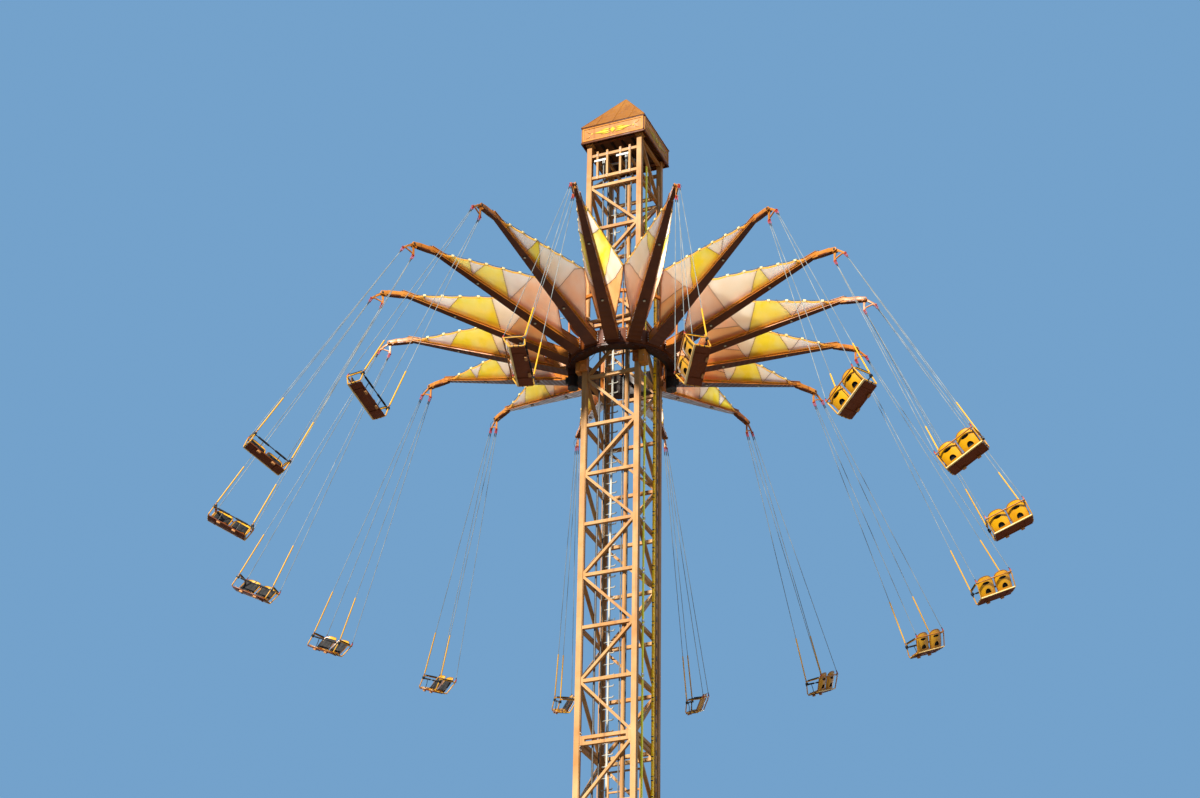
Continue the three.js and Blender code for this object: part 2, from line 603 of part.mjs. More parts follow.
function chair() {
  const { half, tube, seatZ, rearY, frontY, topRearY, topFrontY, topZ } = CHAIR;
  const h = tube / 2;
  // a closed tube frame at each end
  const outside = [[rearY - 22, seatZ - 25], [frontY + h, seatZ - 25], [topFrontY + h, topZ + h],
    [topRearY - h, topZ + h]];
  const inside = [[rearY + 14, seatZ + 25], [frontY - h, seatZ + 25], [topFrontY - h, topZ - h],
    [topRearY + 30, topZ - h]];
  const pieces = [-1, 1].map((side) => plate(outside, tube, mm(side * half, 0, 0), Y, Z, [inside]));
  const beam = (y, z, size) =>
    box(mm(-half, y - size / 2, z - size / 2), mm(half, y + size / 2, z + size / 2));
  pieces.push(beam(rearY + 2, seatZ, 46), beam(topRearY - 2, topZ, 24));
  pieces.push(beam(topFrontY + 4, topZ - 70, 24));
  pieces.push(box(mm(-half, rearY, seatZ - 20), mm(half, frontY - 4, seatZ + 18)));
  // two leaning backs
  const lean = mm(0, topRearY - rearY, topZ - seatZ).normalize();
  const length = Math.hypot(topRearY - rearY, topZ - seatZ) + 95;
  const shell = [[-205, 5], [205, 5], [215, length - 130], [130, length], [-130, length],
    [-215, length - 130]];
  for (const x of [-238, 238]) {
    pieces.push(plate(shell, 26, mm(x, rearY + 24, seatZ + 8), X, lean));
  }
  return fuse(pieces);
}

// Assembly
add('base_frame', groundFrame(), BROWN);
const SIDES = ['front', 'right', 'rear', 'left'];
SIDES.forEach((name, k) => add(`mast_chord_${name}`, chord(...CORNERS[k]), CARAMEL));
SIDES.forEach((name, quarter) => {
  const crosswise = quarter % 2 === 1;
  add(`mast_side_${name}`, mastSide(crosswise, crosswise), CARAMEL).rotation.z = quarter * Math.PI / 2;
});
add('head_frame', headFrame(), CARAMEL);
add('head_sheaves', headSheaves(), STEEL);
SHEAVE_X.forEach((x, index) => add(`hoist_rope_${index + 1}`, ropeLoop(x), STEEL));
add('roof_fascia', roofFascia(), ORANGE);
add('roof_cap', roofCap(), ORANGE);
add('ladder_stile', ladderStile(), STEEL);
const TUBE = { radius: 48, x: 366, low: FITTING_LOW + 500, high: 36350 };
const tubeY = -RAIL_INSIDE + TUBE.radius * Math.cos(Math.PI / 8);
add('guide_tube', cylinder(TUBE.radius, mm(TUBE.x, tubeY, TUBE.low), mm(TUBE.x, tubeY, TUBE.high), 8,
  Math.PI / 8), CARAMEL);
add('slim_rail', box(mm(-RAIL_INSIDE, 35, FITTING_LOW), mm(-RAIL_INSIDE + 40, 75, FITTING_HIGH)),
  CARAMEL);
const strip = (y, width, depth, top) =>
  box(mm(RAIL_OUTSIDE, y - width / 2, FITTING_LOW), mm(RAIL_OUTSIDE + depth, y + width / 2, top));
add('cable_strip', strip(-360, 60, 30, 37000), LIME);
add('energy_chain', strip(262, 70, 45, 34500), YELLOW);
add('chain_tray', strip(433, 80, 45, FITTING_HIGH), CARAMEL);
add('platform', platform(), CARAMEL);
add('carriage_frame', carriage(), BLACK);
add('arm_star', armStar(), ORANGE);
for (let quarter = 0; quarter < 4; quarter += 1) {
  add(`sails_${quarter + 1}`, sailGroup(quarter * 4), CANVAS);
}

for (let index = 0; index < ARM_COUNT; index += 1) {
  const number = String(index + 1).padStart(2, '0');
  const swing = new THREE.Group();
  swing.position.set(TIP_RADIUS, 0, PIN_Z);
  swing.rotation.y = rad(-SWING_OUT_DEG);
  const trailing = new THREE.Group();
  trailing.rotation.x = rad(-TRAIL_DEG);
  swing.add(trailing);
  const spoke = new THREE.Group();
  spoke.rotation.z = rad(FIRST_ARM_DEG + index * 360 / ARM_COUNT - 90);
  spoke.add(swing);
  ride.add(spoke);
  add(`hanger_${number}`, hanger(), STEEL, swing);
  add(`chair_${number}`, chair(), YELLOW, trailing);
}

export default ride;
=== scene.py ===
# A tall chair swing ride, in metres: a lattice mast with a roof, a lift carriage, a turning
# star of sixteen arms with canvas sails, and sixteen chairs that fly outwards on cables.

import json
import math

import bmesh
import bpy
from mathutils import Matrix, Vector, noise
from mathutils.geometry import delaunay_2d_cdt


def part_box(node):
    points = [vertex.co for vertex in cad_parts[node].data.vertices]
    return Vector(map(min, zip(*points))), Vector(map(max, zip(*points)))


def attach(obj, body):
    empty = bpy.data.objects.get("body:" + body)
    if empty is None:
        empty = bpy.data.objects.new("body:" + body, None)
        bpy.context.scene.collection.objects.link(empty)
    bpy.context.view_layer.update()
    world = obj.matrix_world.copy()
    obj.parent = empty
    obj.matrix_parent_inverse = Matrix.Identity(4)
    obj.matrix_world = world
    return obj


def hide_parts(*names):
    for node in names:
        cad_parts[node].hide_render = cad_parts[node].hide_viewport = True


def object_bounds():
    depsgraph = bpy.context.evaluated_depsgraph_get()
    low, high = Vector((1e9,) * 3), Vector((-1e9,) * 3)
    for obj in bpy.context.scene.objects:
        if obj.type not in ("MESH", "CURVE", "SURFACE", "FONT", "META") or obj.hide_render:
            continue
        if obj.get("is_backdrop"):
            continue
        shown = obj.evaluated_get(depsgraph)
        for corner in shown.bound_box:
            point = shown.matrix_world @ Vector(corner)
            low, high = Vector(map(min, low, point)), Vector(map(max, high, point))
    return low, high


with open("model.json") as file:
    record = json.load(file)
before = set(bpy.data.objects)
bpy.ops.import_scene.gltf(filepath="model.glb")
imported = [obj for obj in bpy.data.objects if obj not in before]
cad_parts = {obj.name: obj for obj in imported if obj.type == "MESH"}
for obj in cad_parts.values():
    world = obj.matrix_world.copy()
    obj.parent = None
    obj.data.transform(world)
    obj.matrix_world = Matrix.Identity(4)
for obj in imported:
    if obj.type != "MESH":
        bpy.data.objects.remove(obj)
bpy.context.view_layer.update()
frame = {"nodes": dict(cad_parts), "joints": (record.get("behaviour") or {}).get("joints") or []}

# Camera. It stands 51 m from the mast and a metre above the ground, 22.5 degrees round from
# the -Y side towards +X, and looks up at about thirty degrees.
CAMERA_DISTANCE, CAMERA_HEIGHT = 51.025, 0.973
CAMERA_AZIMUTH, CAMERA_YAW, CAMERA_PITCH, CAMERA_ROLL = 22.5, 0.602, 30.056, 1.076


def turn(degrees, axis):
    return Matrix.Rotation(math.radians(degrees), 4, axis)


def move(x, y, z):
    return Matrix.Translation((x, y, z))


camera = bpy.data.objects.new("camera", bpy.data.cameras.new("camera"))
camera.data.lens, camera.data.sensor_width = 72.6, 36
camera.data.clip_end = 500
camera.matrix_world = (
    turn(CAMERA_AZIMUTH, "Z") @ move(0, -CAMERA_DISTANCE, CAMERA_HEIGHT)
    @ turn(CAMERA_YAW, "Z") @ turn(90 + CAMERA_PITCH, "X") @ turn(CAMERA_ROLL, "Z"))
bpy.context.scene.collection.objects.link(camera)
bpy.context.scene.camera = camera

# Mast. Square steel tubes, welded into four braced sides between four corner chords and
# sprayed a caramel colour, which the sun has bleached and the rain has streaked.
MAST_HALF, CHORD_HALF = 0.685, 0.065
SWINGS = [joint for joint in frame["joints"] if joint["child"].startswith("swing")]
PIN_Z = SWINGS[0]["pos_m"][2]
TIP = PIN_Z + 0.04
SPLICES = [TIP - 0.40, TIP - 11.34, TIP - 22.28]
BAY, FIRST_BAY = 1.3285, 1.517


def srgb(red, green, blue):
    """A colour given as it looks on a screen, from 0 to 255."""
    def linear(value):
        value /= 255
        return value / 12.92 if value <= 0.04045 else ((value + 0.055) / 1.055) ** 2.4
    return (linear(red), linear(green), linear(blue), 1)


def new_material(name):
    material = bpy.data.materials.new(name)
    material.use_nodes = True
    return material, material.node_tree, material.node_tree.nodes["Principled BSDF"]


def node(tree, kind, inputs=(), **settings):
    """The outputs of a new node. An input is a value, or the socket that it is linked from."""
    made = tree.nodes.new(kind)
    for name, value in settings.items():
        setattr(made, name, value)
    for socket, value in dict(inputs).items():
        if isinstance(value, bpy.types.NodeSocket):
            tree.links.new(value, made.inputs[socket])
        else:
            made.inputs[socket].default_value = value
    return made.outputs


def place(tree, stretch=(1, 1, 1)):
    """Where a point is on the piece, in metres, with the pattern drawn out along the axes."""
    coordinates = node(tree, "ShaderNodeTexCoord")["Object"]
    return node(tree, "ShaderNodeMapping", {"Vector": coordinates, "Scale": stretch})[0]


def clouds(tree, scale, detail=3, stretch=(1, 1, 1)):
    inputs = {"Vector": place(tree, stretch), "Scale": scale, "Detail": detail}
    return node(tree, "ShaderNodeTexNoise", inputs)[0]


def between(tree, value, low, high, to_low=0.0, to_high=1.0):
    inputs = {"Value": value, "From Min": low, "From Max": high, "To Min": to_low, "To Max": to_high}
    return node(tree, "ShaderNodeMapRange", inputs)[0]


def blend(tree, share, first, second):
    return node(tree, "ShaderNodeMix", {0: share, 6: first, 7: second}, data_type="RGBA")[2]


def maths(tree, operation, *values):
    return node(tree, "ShaderNodeMath", dict(enumerate(values)), operation=operation)[0]


def tints(tree, scale, detail, low, high, first, second):
    """A colour with soft patches of another."""
    return blend(tree, between(tree, clouds(tree, scale, detail), low, high), first, second)


def uneven(tree, scale, low, high):
    """A roughness that wanders between two values."""
    return between(tree, clouds(tree, scale), 0.3, 0.7, low, high)


def finish(tree, shader, base, height, depth, roughness, values=()):
    """Links a colour, a bump of a depth in metres and a roughness, and sets plain values."""
    bump = node(tree, "ShaderNodeBump", {"Height": height, "Distance": depth, "Strength": 0.6})
    for name, socket in (("Base Color", base), ("Normal", bump[0]), ("Roughness", roughness)):
        tree.links.new(socket, shader.inputs[name])
    for name, value in dict(values).items():
        shader.inputs[name].default_value = value


MATT = {"Specular IOR Level": 0.2}


def paint(name, colour, faded, grime, gloss=0.5, wear=0.5):
    """Sprayed steel: bleached patches, grime that ran down, chips and orange peel."""
    material, tree, shader = new_material(name)
    base = tints(tree, 0.8, 4, 0.35, 0.7, colour, faded)
    runs = between(tree, clouds(tree, 1, 4, (9, 9, 0.5)), 0.52, 0.75, 0, wear)
    chips = between(tree, clouds(tree, 30, 2), 0.68, 0.74, 0, wear)
    base = blend(tree, chips, blend(tree, runs, base, grime), grime)
    roughness = uneven(tree, 5, gloss - 0.1, gloss + 0.18)
    finish(tree, shader, base, clouds(tree, 60, 2), 0.002, roughness, MATT)
    return material


def dress(material, *names):
    """Gives CAD nodes a material."""
    for name in names:
        frame["nodes"][name].data.materials.clear()
        frame["nodes"][name].data.materials.append(material)


mast_paint = paint("mast paint", srgb(154, 104, 50), srgb(171, 134, 86), srgb(91, 48, 19))
mast_parts = [name for name in frame["nodes"] if name.startswith(("mast_chord", "mast_side"))]
dress(mast_paint, "head_frame", "guide_tube", "slim_rail", "chain_tray", "platform", *mast_parts)

# Splices of the mast. The sections are bolted together through cover plates on the inner
# faces of the chords, with galvanised bolts in two rows.


def show(name, mesh, body, sharp=35):
    """Shows a finished mesh as a piece that rides on a body. Flatter edges shade smooth."""
    mesh.polygons.foreach_set("use_smooth", [True] * len(mesh.polygons))
    mesh.set_sharp_from_angle(angle=math.radians(sharp))
    piece = bpy.data.objects.new(name, mesh)
    bpy.context.scene.collection.objects.link(piece)
    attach(piece, body)
    return piece


def to_mesh(shape, material, outwards=True):
    """A mesh of one material from a bmesh."""
    if outwards:
        bmesh.ops.recalc_face_normals(shape, faces=shape.faces[:])
    mesh = bpy.data.meshes.new("shape")
    shape.to_mesh(mesh)
    shape.free()
    mesh.materials.append(material)
    return mesh


def break_edges(shape, edges, width):
    bmesh.ops.bevel(shape, geom=edges, offset=width, segments=2, affect="EDGES", profile=0.5)


def boxes(corners, material, bevel=0.0):
    """Boxes between pairs of corners, with their edges broken."""
    shape = bmesh.new()
    for first, second in corners:
        low, high = Vector(map(min, first, second)), Vector(map(max, first, second))
        fresh = bmesh.ops.create_cube(shape, size=1)["verts"]
        bmesh.ops.scale(shape, vec=high - low, verts=fresh)
        bmesh.ops.translate(shape, vec=(low + high) / 2, verts=fresh)
    if bevel:
        break_edges(shape, shape.edges[:], bevel)
    return to_mesh(shape, material)


def block(x, y, low, high, half_x, half_y):
    """The corners of a box about x, y, from one height to another."""
    return (x - half_x, y - half_y, low), (x + half_x, y + half_y, high)


def join(*meshes):
    """One mesh of several, which keeps the materials of each."""
    whole, shape = bpy.data.meshes.new("joined"), bmesh.new()
    for mesh in meshes:
        known, first = len(shape.faces), len(whole.materials)
        shape.from_mesh(mesh)
        shape.faces.ensure_lookup_table()
        for material in mesh.materials:
            whole.materials.append(material)
        for face in shape.faces[known:]:
            face.material_index += first
    shape.to_mesh(whole)
    shape.free()
    return whole


def placed(mesh, *matrices):
    """Copies of a mesh at each of the given places, as one mesh."""
    whole, shape = bpy.data.meshes.new("copies"), bmesh.new()
    for matrix in matrices:
        copy = mesh.copy()
        copy.transform(matrix)
        shape.from_mesh(copy)
    shape.to_mesh(whole)
    shape.free()
    for material in mesh.materials:
        whole.materials.append(material)
    return whole


def tree_with(name, sockets):
    """An empty geometry tree with its geometry socket, its named inputs and its output."""
    tree = bpy.data.node_groups.new(name, "GeometryNodeTree")
    tree.interface.new_socket("Geometry", in_out="INPUT", socket_type="NodeSocketGeometry")
    for socket, kind in [*sockets, ("Material", "Material")]:
        tree.interface.new_socket(socket, in_out="INPUT", socket_type="NodeSocket" + kind)
    tree.interface.new_socket("Geometry", in_out="OUTPUT", socket_type="NodeSocketGeometry")
    return tree, node(tree, "NodeGroupInput"), tree.nodes.new("NodeGroupOutput")


def finish_tree(tree, given, leave, geometry):
    realized = node(tree, "GeometryNodeRealizeInstances", {"Geometry": geometry})[0]
    inputs = {"Geometry": realized, "Material": given["Material"]}
    dressed = node(tree, "GeometryNodeSetMaterial", inputs)[0]
    tree.links.new(dressed, leave.inputs[0])
    return tree


def studs_tree():
    """Round or six-sided studs on points, each facing along its point's facing."""
    tree, given, leave = tree_with("studs", [("Radius", "Float"), ("Height", "Float"), ("Sides", "Int")])
    inputs = {"Vertices": given["Sides"], "Radius": given["Radius"], "Depth": given["Height"]}
    stud = node(tree, "GeometryNodeMeshCylinder", inputs)[0]
    facing = node(tree, "GeometryNodeInputNamedAttribute", {"Name": "facing"}, data_type="FLOAT_VECTOR")
    turned = node(tree, "FunctionNodeAlignRotationToVector", {"Vector": facing[0]}, axis="Z")
    inputs = {"Points": given["Geometry"], "Instance": stud, "Rotation": turned[0]}
    studs_there = node(tree, "GeometryNodeInstanceOnPoints", inputs)[0]
    return finish_tree(tree, given, leave, studs_there)


def grow(tree, points, lines=(), facings=(), **inputs):
    """The mesh that a geometry tree makes from points and lines."""
    seed = bpy.data.meshes.new("seed")
    seed.from_pydata([tuple(point) for point in points], [tuple(line) for line in lines], [])
    if facings:
        values = [value for vector in facings for value in vector]
        seed.attributes.new("facing", "FLOAT_VECTOR", "POINT").data.foreach_set("vector", values)
    holder = bpy.data.objects.new("seed", seed)
    bpy.context.scene.collection.objects.link(holder)
    modifier = holder.modifiers.new("grow", "NODES")
    modifier.node_group = tree
    for item in tree.interface.items_tree:
        if item.in_out == "INPUT" and item.name in inputs:
            modifier[item.identifier] = inputs[item.name]
    holder.update_tag()
    evaluated = holder.evaluated_get(bpy.context.evaluated_depsgraph_get())
    mesh = bpy.data.meshes.new_from_object(evaluated)
    bpy.data.objects.remove(holder)
    return mesh


STUDS = studs_tree()
X_WAY, Y_WAY, Z_WAY = (1, 0, 0), (0, 1, 0), (0, 0, 1)


def studs(points, facing, radius, height, material, sides=6):
    """Studs on points. They all face one way, or a list says which way each faces."""
    facings = facing if isinstance(facing, list) else [facing] * len(points)
    inputs = {"Radius": radius, "Height": height, "Sides": sides, "Material": material}
    return grow(STUDS, points, facings=facings, **inputs)


def galvanising(name, dark, light):
    """Zinc with its crystals, a little dulled."""
    material, tree, shader = new_material(name)
    crystals = node(tree, "ShaderNodeTexVoronoi", {"Vector": place(tree), "Scale": 45})["Color"]
    base = blend(tree, between(tree, crystals, 0.2, 0.9), dark, light)
    roughness = uneven(tree, 12, 0.42, 0.62)
    finish(tree, shader, base, clouds(tree, 80, 2), 0.0004, roughness, {"Metallic": 0.35})
    return material


COVER_HALF = 0.006

galvanised = galvanising("galvanised steel", srgb(145, 147, 143), srgb(169, 169, 165))
cover_plates, bolt_points, bolt_facings = [], [], []
for splice in SPLICES:
    for side in (-1, 1):
        x = side * (MAST_HALF - CHORD_HALF - COVER_HALF)
        for y in (-MAST_HALF, MAST_HALF):
            cover_plates.append(block(x, y, splice - 0.24, splice + 0.24, COVER_HALF, 0.05))
            for height in (-0.2, -0.13, 0.13, 0.2):
                for across in (-0.03, 0.03):
                    bolt_points.append((x - side * 2 * COVER_HALF, y + across, splice + height))
                    bolt_facings.append((-side, 0, 0))
show("splice_plates", boxes(cover_plates, mast_paint, 0.002), "mast")
show("splice_bolts", studs(bolt_points, bolt_facings, 0.014, 0.014, galvanised), "mast")

# Ladder. One galvanised stile with a rung through it every 28 cm, all whitened by the weather.
# A rung's outer end is bent up, so that a foot can't slip off it.
RUNG_PITCH, RUNG_LEFT, RUNG_RIGHT, RUNG_HOOK = 0.28, 0.13, 0.12, 0.034


def bars_tree():
    """Round bars along lines, with their corners bent to a radius."""
    tree, given, leave = tree_with("bars", [("Radius", "Float"), ("Sides", "Int"), ("Bend", "Float")])
    lines = node(tree, "GeometryNodeMeshToCurve", {"Mesh": given["Geometry"]})[0]
    inputs = {"Curve": lines, "Radius": given["Bend"], "Count": 4, "Limit Radius": True}
    bent = node(tree, "GeometryNodeFilletCurve", inputs, mode="POLY")[0]
    inputs = {"Resolution": given["Sides"], "Radius": given["Radius"]}
    ring = node(tree, "GeometryNodeCurvePrimitiveCircle", inputs)[0]
    inputs = {"Curve": bent, "Profile Curve": ring, "Fill Caps": True}
    made = node(tree, "GeometryNodeCurveToMesh", inputs)[0]
    return finish_tree(tree, given, leave, made)


def polylines(paths, closed=False):
    """Points and lines for a number of paths."""
    points, lines = [], []
    for path in paths:
        first = len(points)
        points += path
        lines += [(first + k, first + k + 1) for k in range(len(path) - 1)]
        if closed:
            lines.append((first + len(path) - 1, first))
    return points, lines


BARS = bars_tree()


def bars(paths, radius, material, sides=8, bend=0.0, closed=False):
    points, lines = polylines(paths, closed)
    inputs = {"Radius": radius, "Sides": sides, "Bend": bend, "Material": material}
    return grow(BARS, points, lines, **inputs)


ladder_zinc = paint("ladder zinc", srgb(148, 146, 136), srgb(166, 164, 154), srgb(96, 84, 66), 0.5, 0.4)
dress(ladder_zinc, "ladder_stile")
stile_low, stile_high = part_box("ladder_stile")
stile_x, stile_y = stile_low.x + 0.0225, stile_low.y + 0.0225
rungs = []
for k in range(int((stile_high.z - stile_low.z - 0.2) / RUNG_PITCH)):
    z = stile_low.z + 0.15 + k * RUNG_PITCH
    rungs.append([(stile_x - RUNG_LEFT, stile_y, z), (stile_x + RUNG_RIGHT, stile_y, z),
                  (stile_x + RUNG_RIGHT + 0.026, stile_y, z + RUNG_HOOK)])
show("ladder_rungs", bars(rungs, 0.0155, ladder_zinc, bend=0.02), "mast")

# Guide tube. A thick steel tube that runs up the mast, in the mast's own colour. Short collars
# clamp it to the rails.
tube_low, tube_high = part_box("guide_tube")
tube_x, tube_y = (tube_low.x + tube_high.x) / 2, (tube_low.y + tube_high.y) / 2
rail_heights = [splice - FIRST_BAY - k * BAY for splice in SPLICES for k in range(7)]


def bridge(shape, first, second):
    """Faces between two closed loops of corners."""
    for k in range(len(first)):
        shape.faces.new((first[k - 1], first[k], second[k], second[k - 1]))


def ring(inner, outer, low, high, sides, material, bevel):
    """A ring about the Z axis."""
    shape = bmesh.new()
    angles = [math.tau * k / sides for k in range(sides)]
    loops = [[shape.verts.new((radius * math.cos(angle), radius * math.sin(angle), z)) for angle in angles]
             for radius, z in ((inner, low), (outer, low), (outer, high), (inner, high))]
    for first, second in zip(loops, loops[1:] + loops[:1]):
        bridge(shape, first, second)
    rims = [edge for edge in shape.edges if edge.is_manifold and edge.calc_face_angle() > 1]
    break_edges(shape, rims, bevel)
    return to_mesh(shape, material)


collar = ring(0.0485, 0.058, -0.03, 0.03, 20, mast_paint, 0.003)
collar_places = [move(tube_x, tube_y, z) for z in rail_heights if tube_low.z < z < tube_high.z]
show("guide_tube_collars", placed(collar, *collar_places), "mast")

# Cable strip. A lime yellow plastic duct for the ride's power and lights, held by a white
# clamp at each rail.


def plastic(name, colour, chalky, gloss=0.35):
    """Moulded or extruded plastic: chalky patches, dust and fine scratches."""
    material, tree, shader = new_material(name)
    base = tints(tree, 3, 4, 0.35, 0.75, colour, chalky)
    scratches = clouds(tree, 40, 3, (1, 1, 6))
    roughness = between(tree, scratches, 0.3, 0.7, gloss, gloss + 0.2)
    finish(tree, shader, base, scratches, 0.0008, roughness, {"Specular IOR Level": 0.3})
    return material


lime = plastic("lime plastic", srgb(250, 244, 40), srgb(238, 228, 66))
white_plastic = plastic("white plastic", srgb(193, 193, 190), srgb(168, 168, 163))
dress(lime, "cable_strip")
strip_low, strip_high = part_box("cable_strip")
clamps = []
for z in rail_heights:
    if strip_low.z < z < strip_high.z:
        for low in (z - 0.035, z + 0.07):
            clamps.append(((strip_low.x, strip_low.y - 0.022, low),
                           (strip_high.x + 0.012, strip_high.y + 0.022, low + 0.05)))
show("cable_strip_clamps", boxes(clamps, white_plastic, 0.004), "mast")

# Energy chain. Yellow plastic links with black side plates, which hang beside a steel tray with
# painted shade for its slots, and feed the carriage.
LINK_PITCH, SLOT_PITCH, SLOT_LENGTH = 0.095, 0.33, 0.13

chain_yellow = plastic("chain yellow", srgb(252, 206, 0), srgb(240, 186, 14))
black_plastic = plastic("black plastic", srgb(21, 20, 20), srgb(43, 41, 39))
dress(chain_yellow, "energy_chain")
chain_low, chain_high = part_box("energy_chain")
links, side_plates = [], []
for k in range(int((chain_high.z - chain_low.z) / LINK_PITCH)):
    z = chain_low.z + k * LINK_PITCH
    links.append(((chain_low.x + 0.002, chain_low.y - 0.006, z + 0.008),
                  (chain_high.x + 0.006, chain_high.y + 0.006, z + LINK_PITCH - 0.008)))
    if k % 5 < 2:
        far_y = chain_low.y + 0.012 + 0.02 * (k % 5)
        side_plates.append(((chain_low.x + 0.002, chain_low.y - 0.009, z + 0.035),
                            (chain_high.x + 0.008, far_y, z + LINK_PITCH - 0.035)))
show("chain_links", boxes(links, chain_yellow, 0.003), "mast")
show("chain_side_plates", boxes(side_plates, black_plastic, 0.002), "mast")

tray_low, tray_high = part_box("chain_tray")
tray_y = (tray_low.y + tray_high.y) / 2
# The tray's slots are thin black boxes on its face: painted shade in place of openings.
slot_shade_boxes = []
for k in range(int((tray_high.z - tray_low.z - 0.3) / SLOT_PITCH)):
    z = tray_low.z + 0.2 + k * SLOT_PITCH
    slot_shade_boxes.append(((tray_high.x - 0.002, tray_y - 0.027, z),
                  (tray_high.x + 0.0015, tray_y + 0.027, z + SLOT_LENGTH)))
show("tray_slots_painted_shade", boxes(slot_shade_boxes, black_plastic, 0.001), "mast")

# Maintenance platform. Galvanised grating lies in the welded frame inside the mast: upright
# flat bars, tied by a few rods across them.
BAR_PITCH, ROD_PITCH = 0.033, 0.1

deck_low, deck_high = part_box("platform")
deck_z = SPLICES[1] - FIRST_BAY + 0.025
grating = []
for k in range(int((deck_high.y - deck_low.y - 0.07) / BAR_PITCH)):
    y = deck_low.y + 0.05 + k * BAR_PITCH
    grating.append(((deck_low.x + 0.01, y, deck_z), (deck_high.x - 0.01, y + 0.005, deck_z + 0.02)))
for k in range(8):
    x = deck_low.x + 0.03 + k * ROD_PITCH
    grating.append(((x, deck_low.y + 0.045, deck_z + 0.012), (x + 0.005, deck_high.y - 0.02, deck_z + 0.022)))
show("platform_grating", boxes(grating, galvanised), "mast")

# Hoist. Steel ropes run over grooved wheels under the roof. White plates on the head frame
# guard the wheels, and small galvanised bolts hold their bearings.
HEAD_Y = -MAST_HALF - 0.05
GUARDS = [(-0.548, -0.227, 37.215), (0.055, 0.39, 37.245)]
BEARINGS_X, BEARINGS_Z = (-0.466, -0.2, 0.16, 0.418), (36.746, 37.427)

dark_steel = galvanising("dark steel", srgb(41, 39, 36), srgb(71, 68, 64))
hoist_rope = galvanising("hoist rope", srgb(56, 58, 58), srgb(76, 78, 76))
dress(galvanised, "head_sheaves")
dress(hoist_rope, "hoist_rope_1", "hoist_rope_2")
guard_paint = paint("guard paint", srgb(188, 188, 182), srgb(197, 197, 194), srgb(124, 113, 99))
guards = [((left, HEAD_Y - 0.012, z), (right, HEAD_Y, z + 0.06)) for left, right, z in GUARDS]
show("wheel_guards", boxes(guards, guard_paint, 0.003), "mast")
bolt_points = [(x + dx, HEAD_Y - 0.003, z + dz) for x in BEARINGS_X for z in BEARINGS_Z
               for dx in (-0.014, 0.014) for dz in (-0.02, 0.02)]
show("head_bolts", studs(bolt_points, (0, -1, 0), 0.009, 0.012, galvanised), "mast")

# Roof. A sheet steel pyramid on a square fascia. Each side carries a peach coloured panel
# between dark trims, with a plain raised ornament of diamonds and leaves.
roof_paint = paint("roof paint", srgb(121, 73, 13), srgb(132, 84, 22), srgb(86, 46, 11), 0.6, 0.6)
trim_paint = paint("trim paint", srgb(86, 43, 11), srgb(107, 56, 18), srgb(45, 23, 10))
panel_paint = paint("panel paint", srgb(161, 109, 58), srgb(169, 126, 79), srgb(128, 69, 26), 0.6, 0.7)
frame_gold = paint("frame paint", srgb(168, 107, 30), srgb(179, 128, 54), srgb(111, 60, 20), 0.5, 0.6)
ornament_paint = paint("ornament paint", srgb(182, 156, 25), srgb(190, 168, 69), srgb(156, 113, 28))
soffit_paint = paint("soffit paint", srgb(75, 45, 18), srgb(90, 56, 26), srgb(36, 21, 10))
rib_paint = paint("soffit rib paint", srgb(21, 13, 8), srgb(33, 21, 13), srgb(17, 10, 7), 0.7, 0.4)
dress(roof_paint, "roof_cap")
dress(trim_paint, "roof_fascia")
fascia_low, fascia_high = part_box("roof_fascia")
FASCIA = fascia_high.x
roof_low, roof_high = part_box("roof_cap")


def inside(point, outline):
    """Whether a flat point lies inside a closed outline."""
    x, y = point
    found = False
    for (x1, y1), (x2, y2) in zip(outline, outline[1:] + outline[:1]):
        if (y1 > y) != (y2 > y) and x < (x2 - x1) * (y - y1) / (y2 - y1) + x1:
            found = not found
    return found


def cut_flat(outline, holes=(), seams=(), inner=()):
    """Triangles that fill an outline but not its holes, with edges along all the seams."""
    points, edges = polylines([outline, *holes], closed=True)
    seam_points, seam_edges = polylines(seams)
    edges += [(first + len(points), second + len(points)) for first, second in seam_edges]
    points = [Vector(point) for point in (*points, *seam_points, *inner)]
    result = delaunay_2d_cdt(points, edges, [list(range(len(outline)))], 1, 1e-5)
    corners, faces = result[0], result[2]
    kept = []
    for face in faces:
        middle = sum((corners[k] for k in face), Vector((0, 0))) / len(face)
        if not any(inside(middle, hole) for hole in holes):
            kept.append(face)
    return [tuple(corner) for corner in corners], kept


def flat_plate(outline, thickness, matrix, material, holes=(), bevel=0.0):
    """A plate with holes, drawn in X and Y about its middle plane and then put in place."""
    points, triangles = cut_flat(outline, holes=holes)
    shape = bmesh.new()
    lower, upper = [[shape.verts.new((x, y, side * thickness / 2)) for x, y in points] for side in (-1, 1)]
    partner = dict(zip(upper, lower))
    for a, b, c in triangles:
        shape.faces.new((lower[c], lower[b], lower[a]))
        shape.faces.new((upper[a], upper[b], upper[c]))
    for a, b in [edge.verts[:] for edge in shape.edges if edge.is_boundary and edge.verts[0] in partner]:
        shape.faces.new((a, b, partner[b], partner[a]))
    if bevel:
        bmesh.ops.recalc_face_normals(shape, faces=shape.faces[:])
        break_edges(shape, [edge for edge in shape.edges if edge.calc_face_angle(0) > 1.2], bevel)
    shape.transform(matrix)
    return to_mesh(shape, material)


def arc(centre_x, centre_y, radius_x, radius_y, start, end, steps):
    """Points of an elliptical arc between two angles, in degrees."""
    angles = [math.radians(start + (end - start) * k / steps) for k in range(steps + 1)]
    return [(centre_x + radius_x * math.cos(a), centre_y + radius_y * math.sin(a)) for a in angles]


def leaf(x, y, length, width):
    """A leaf from its root at x, y along X."""
    upper = [(x + length * t, y + width * math.sin(math.pi * t ** 0.7)) for t in (k / 10 for k in range(11))]
    lower = [(px, 2 * y - py) for px, py in reversed(upper[1:-1])]
    return upper + lower


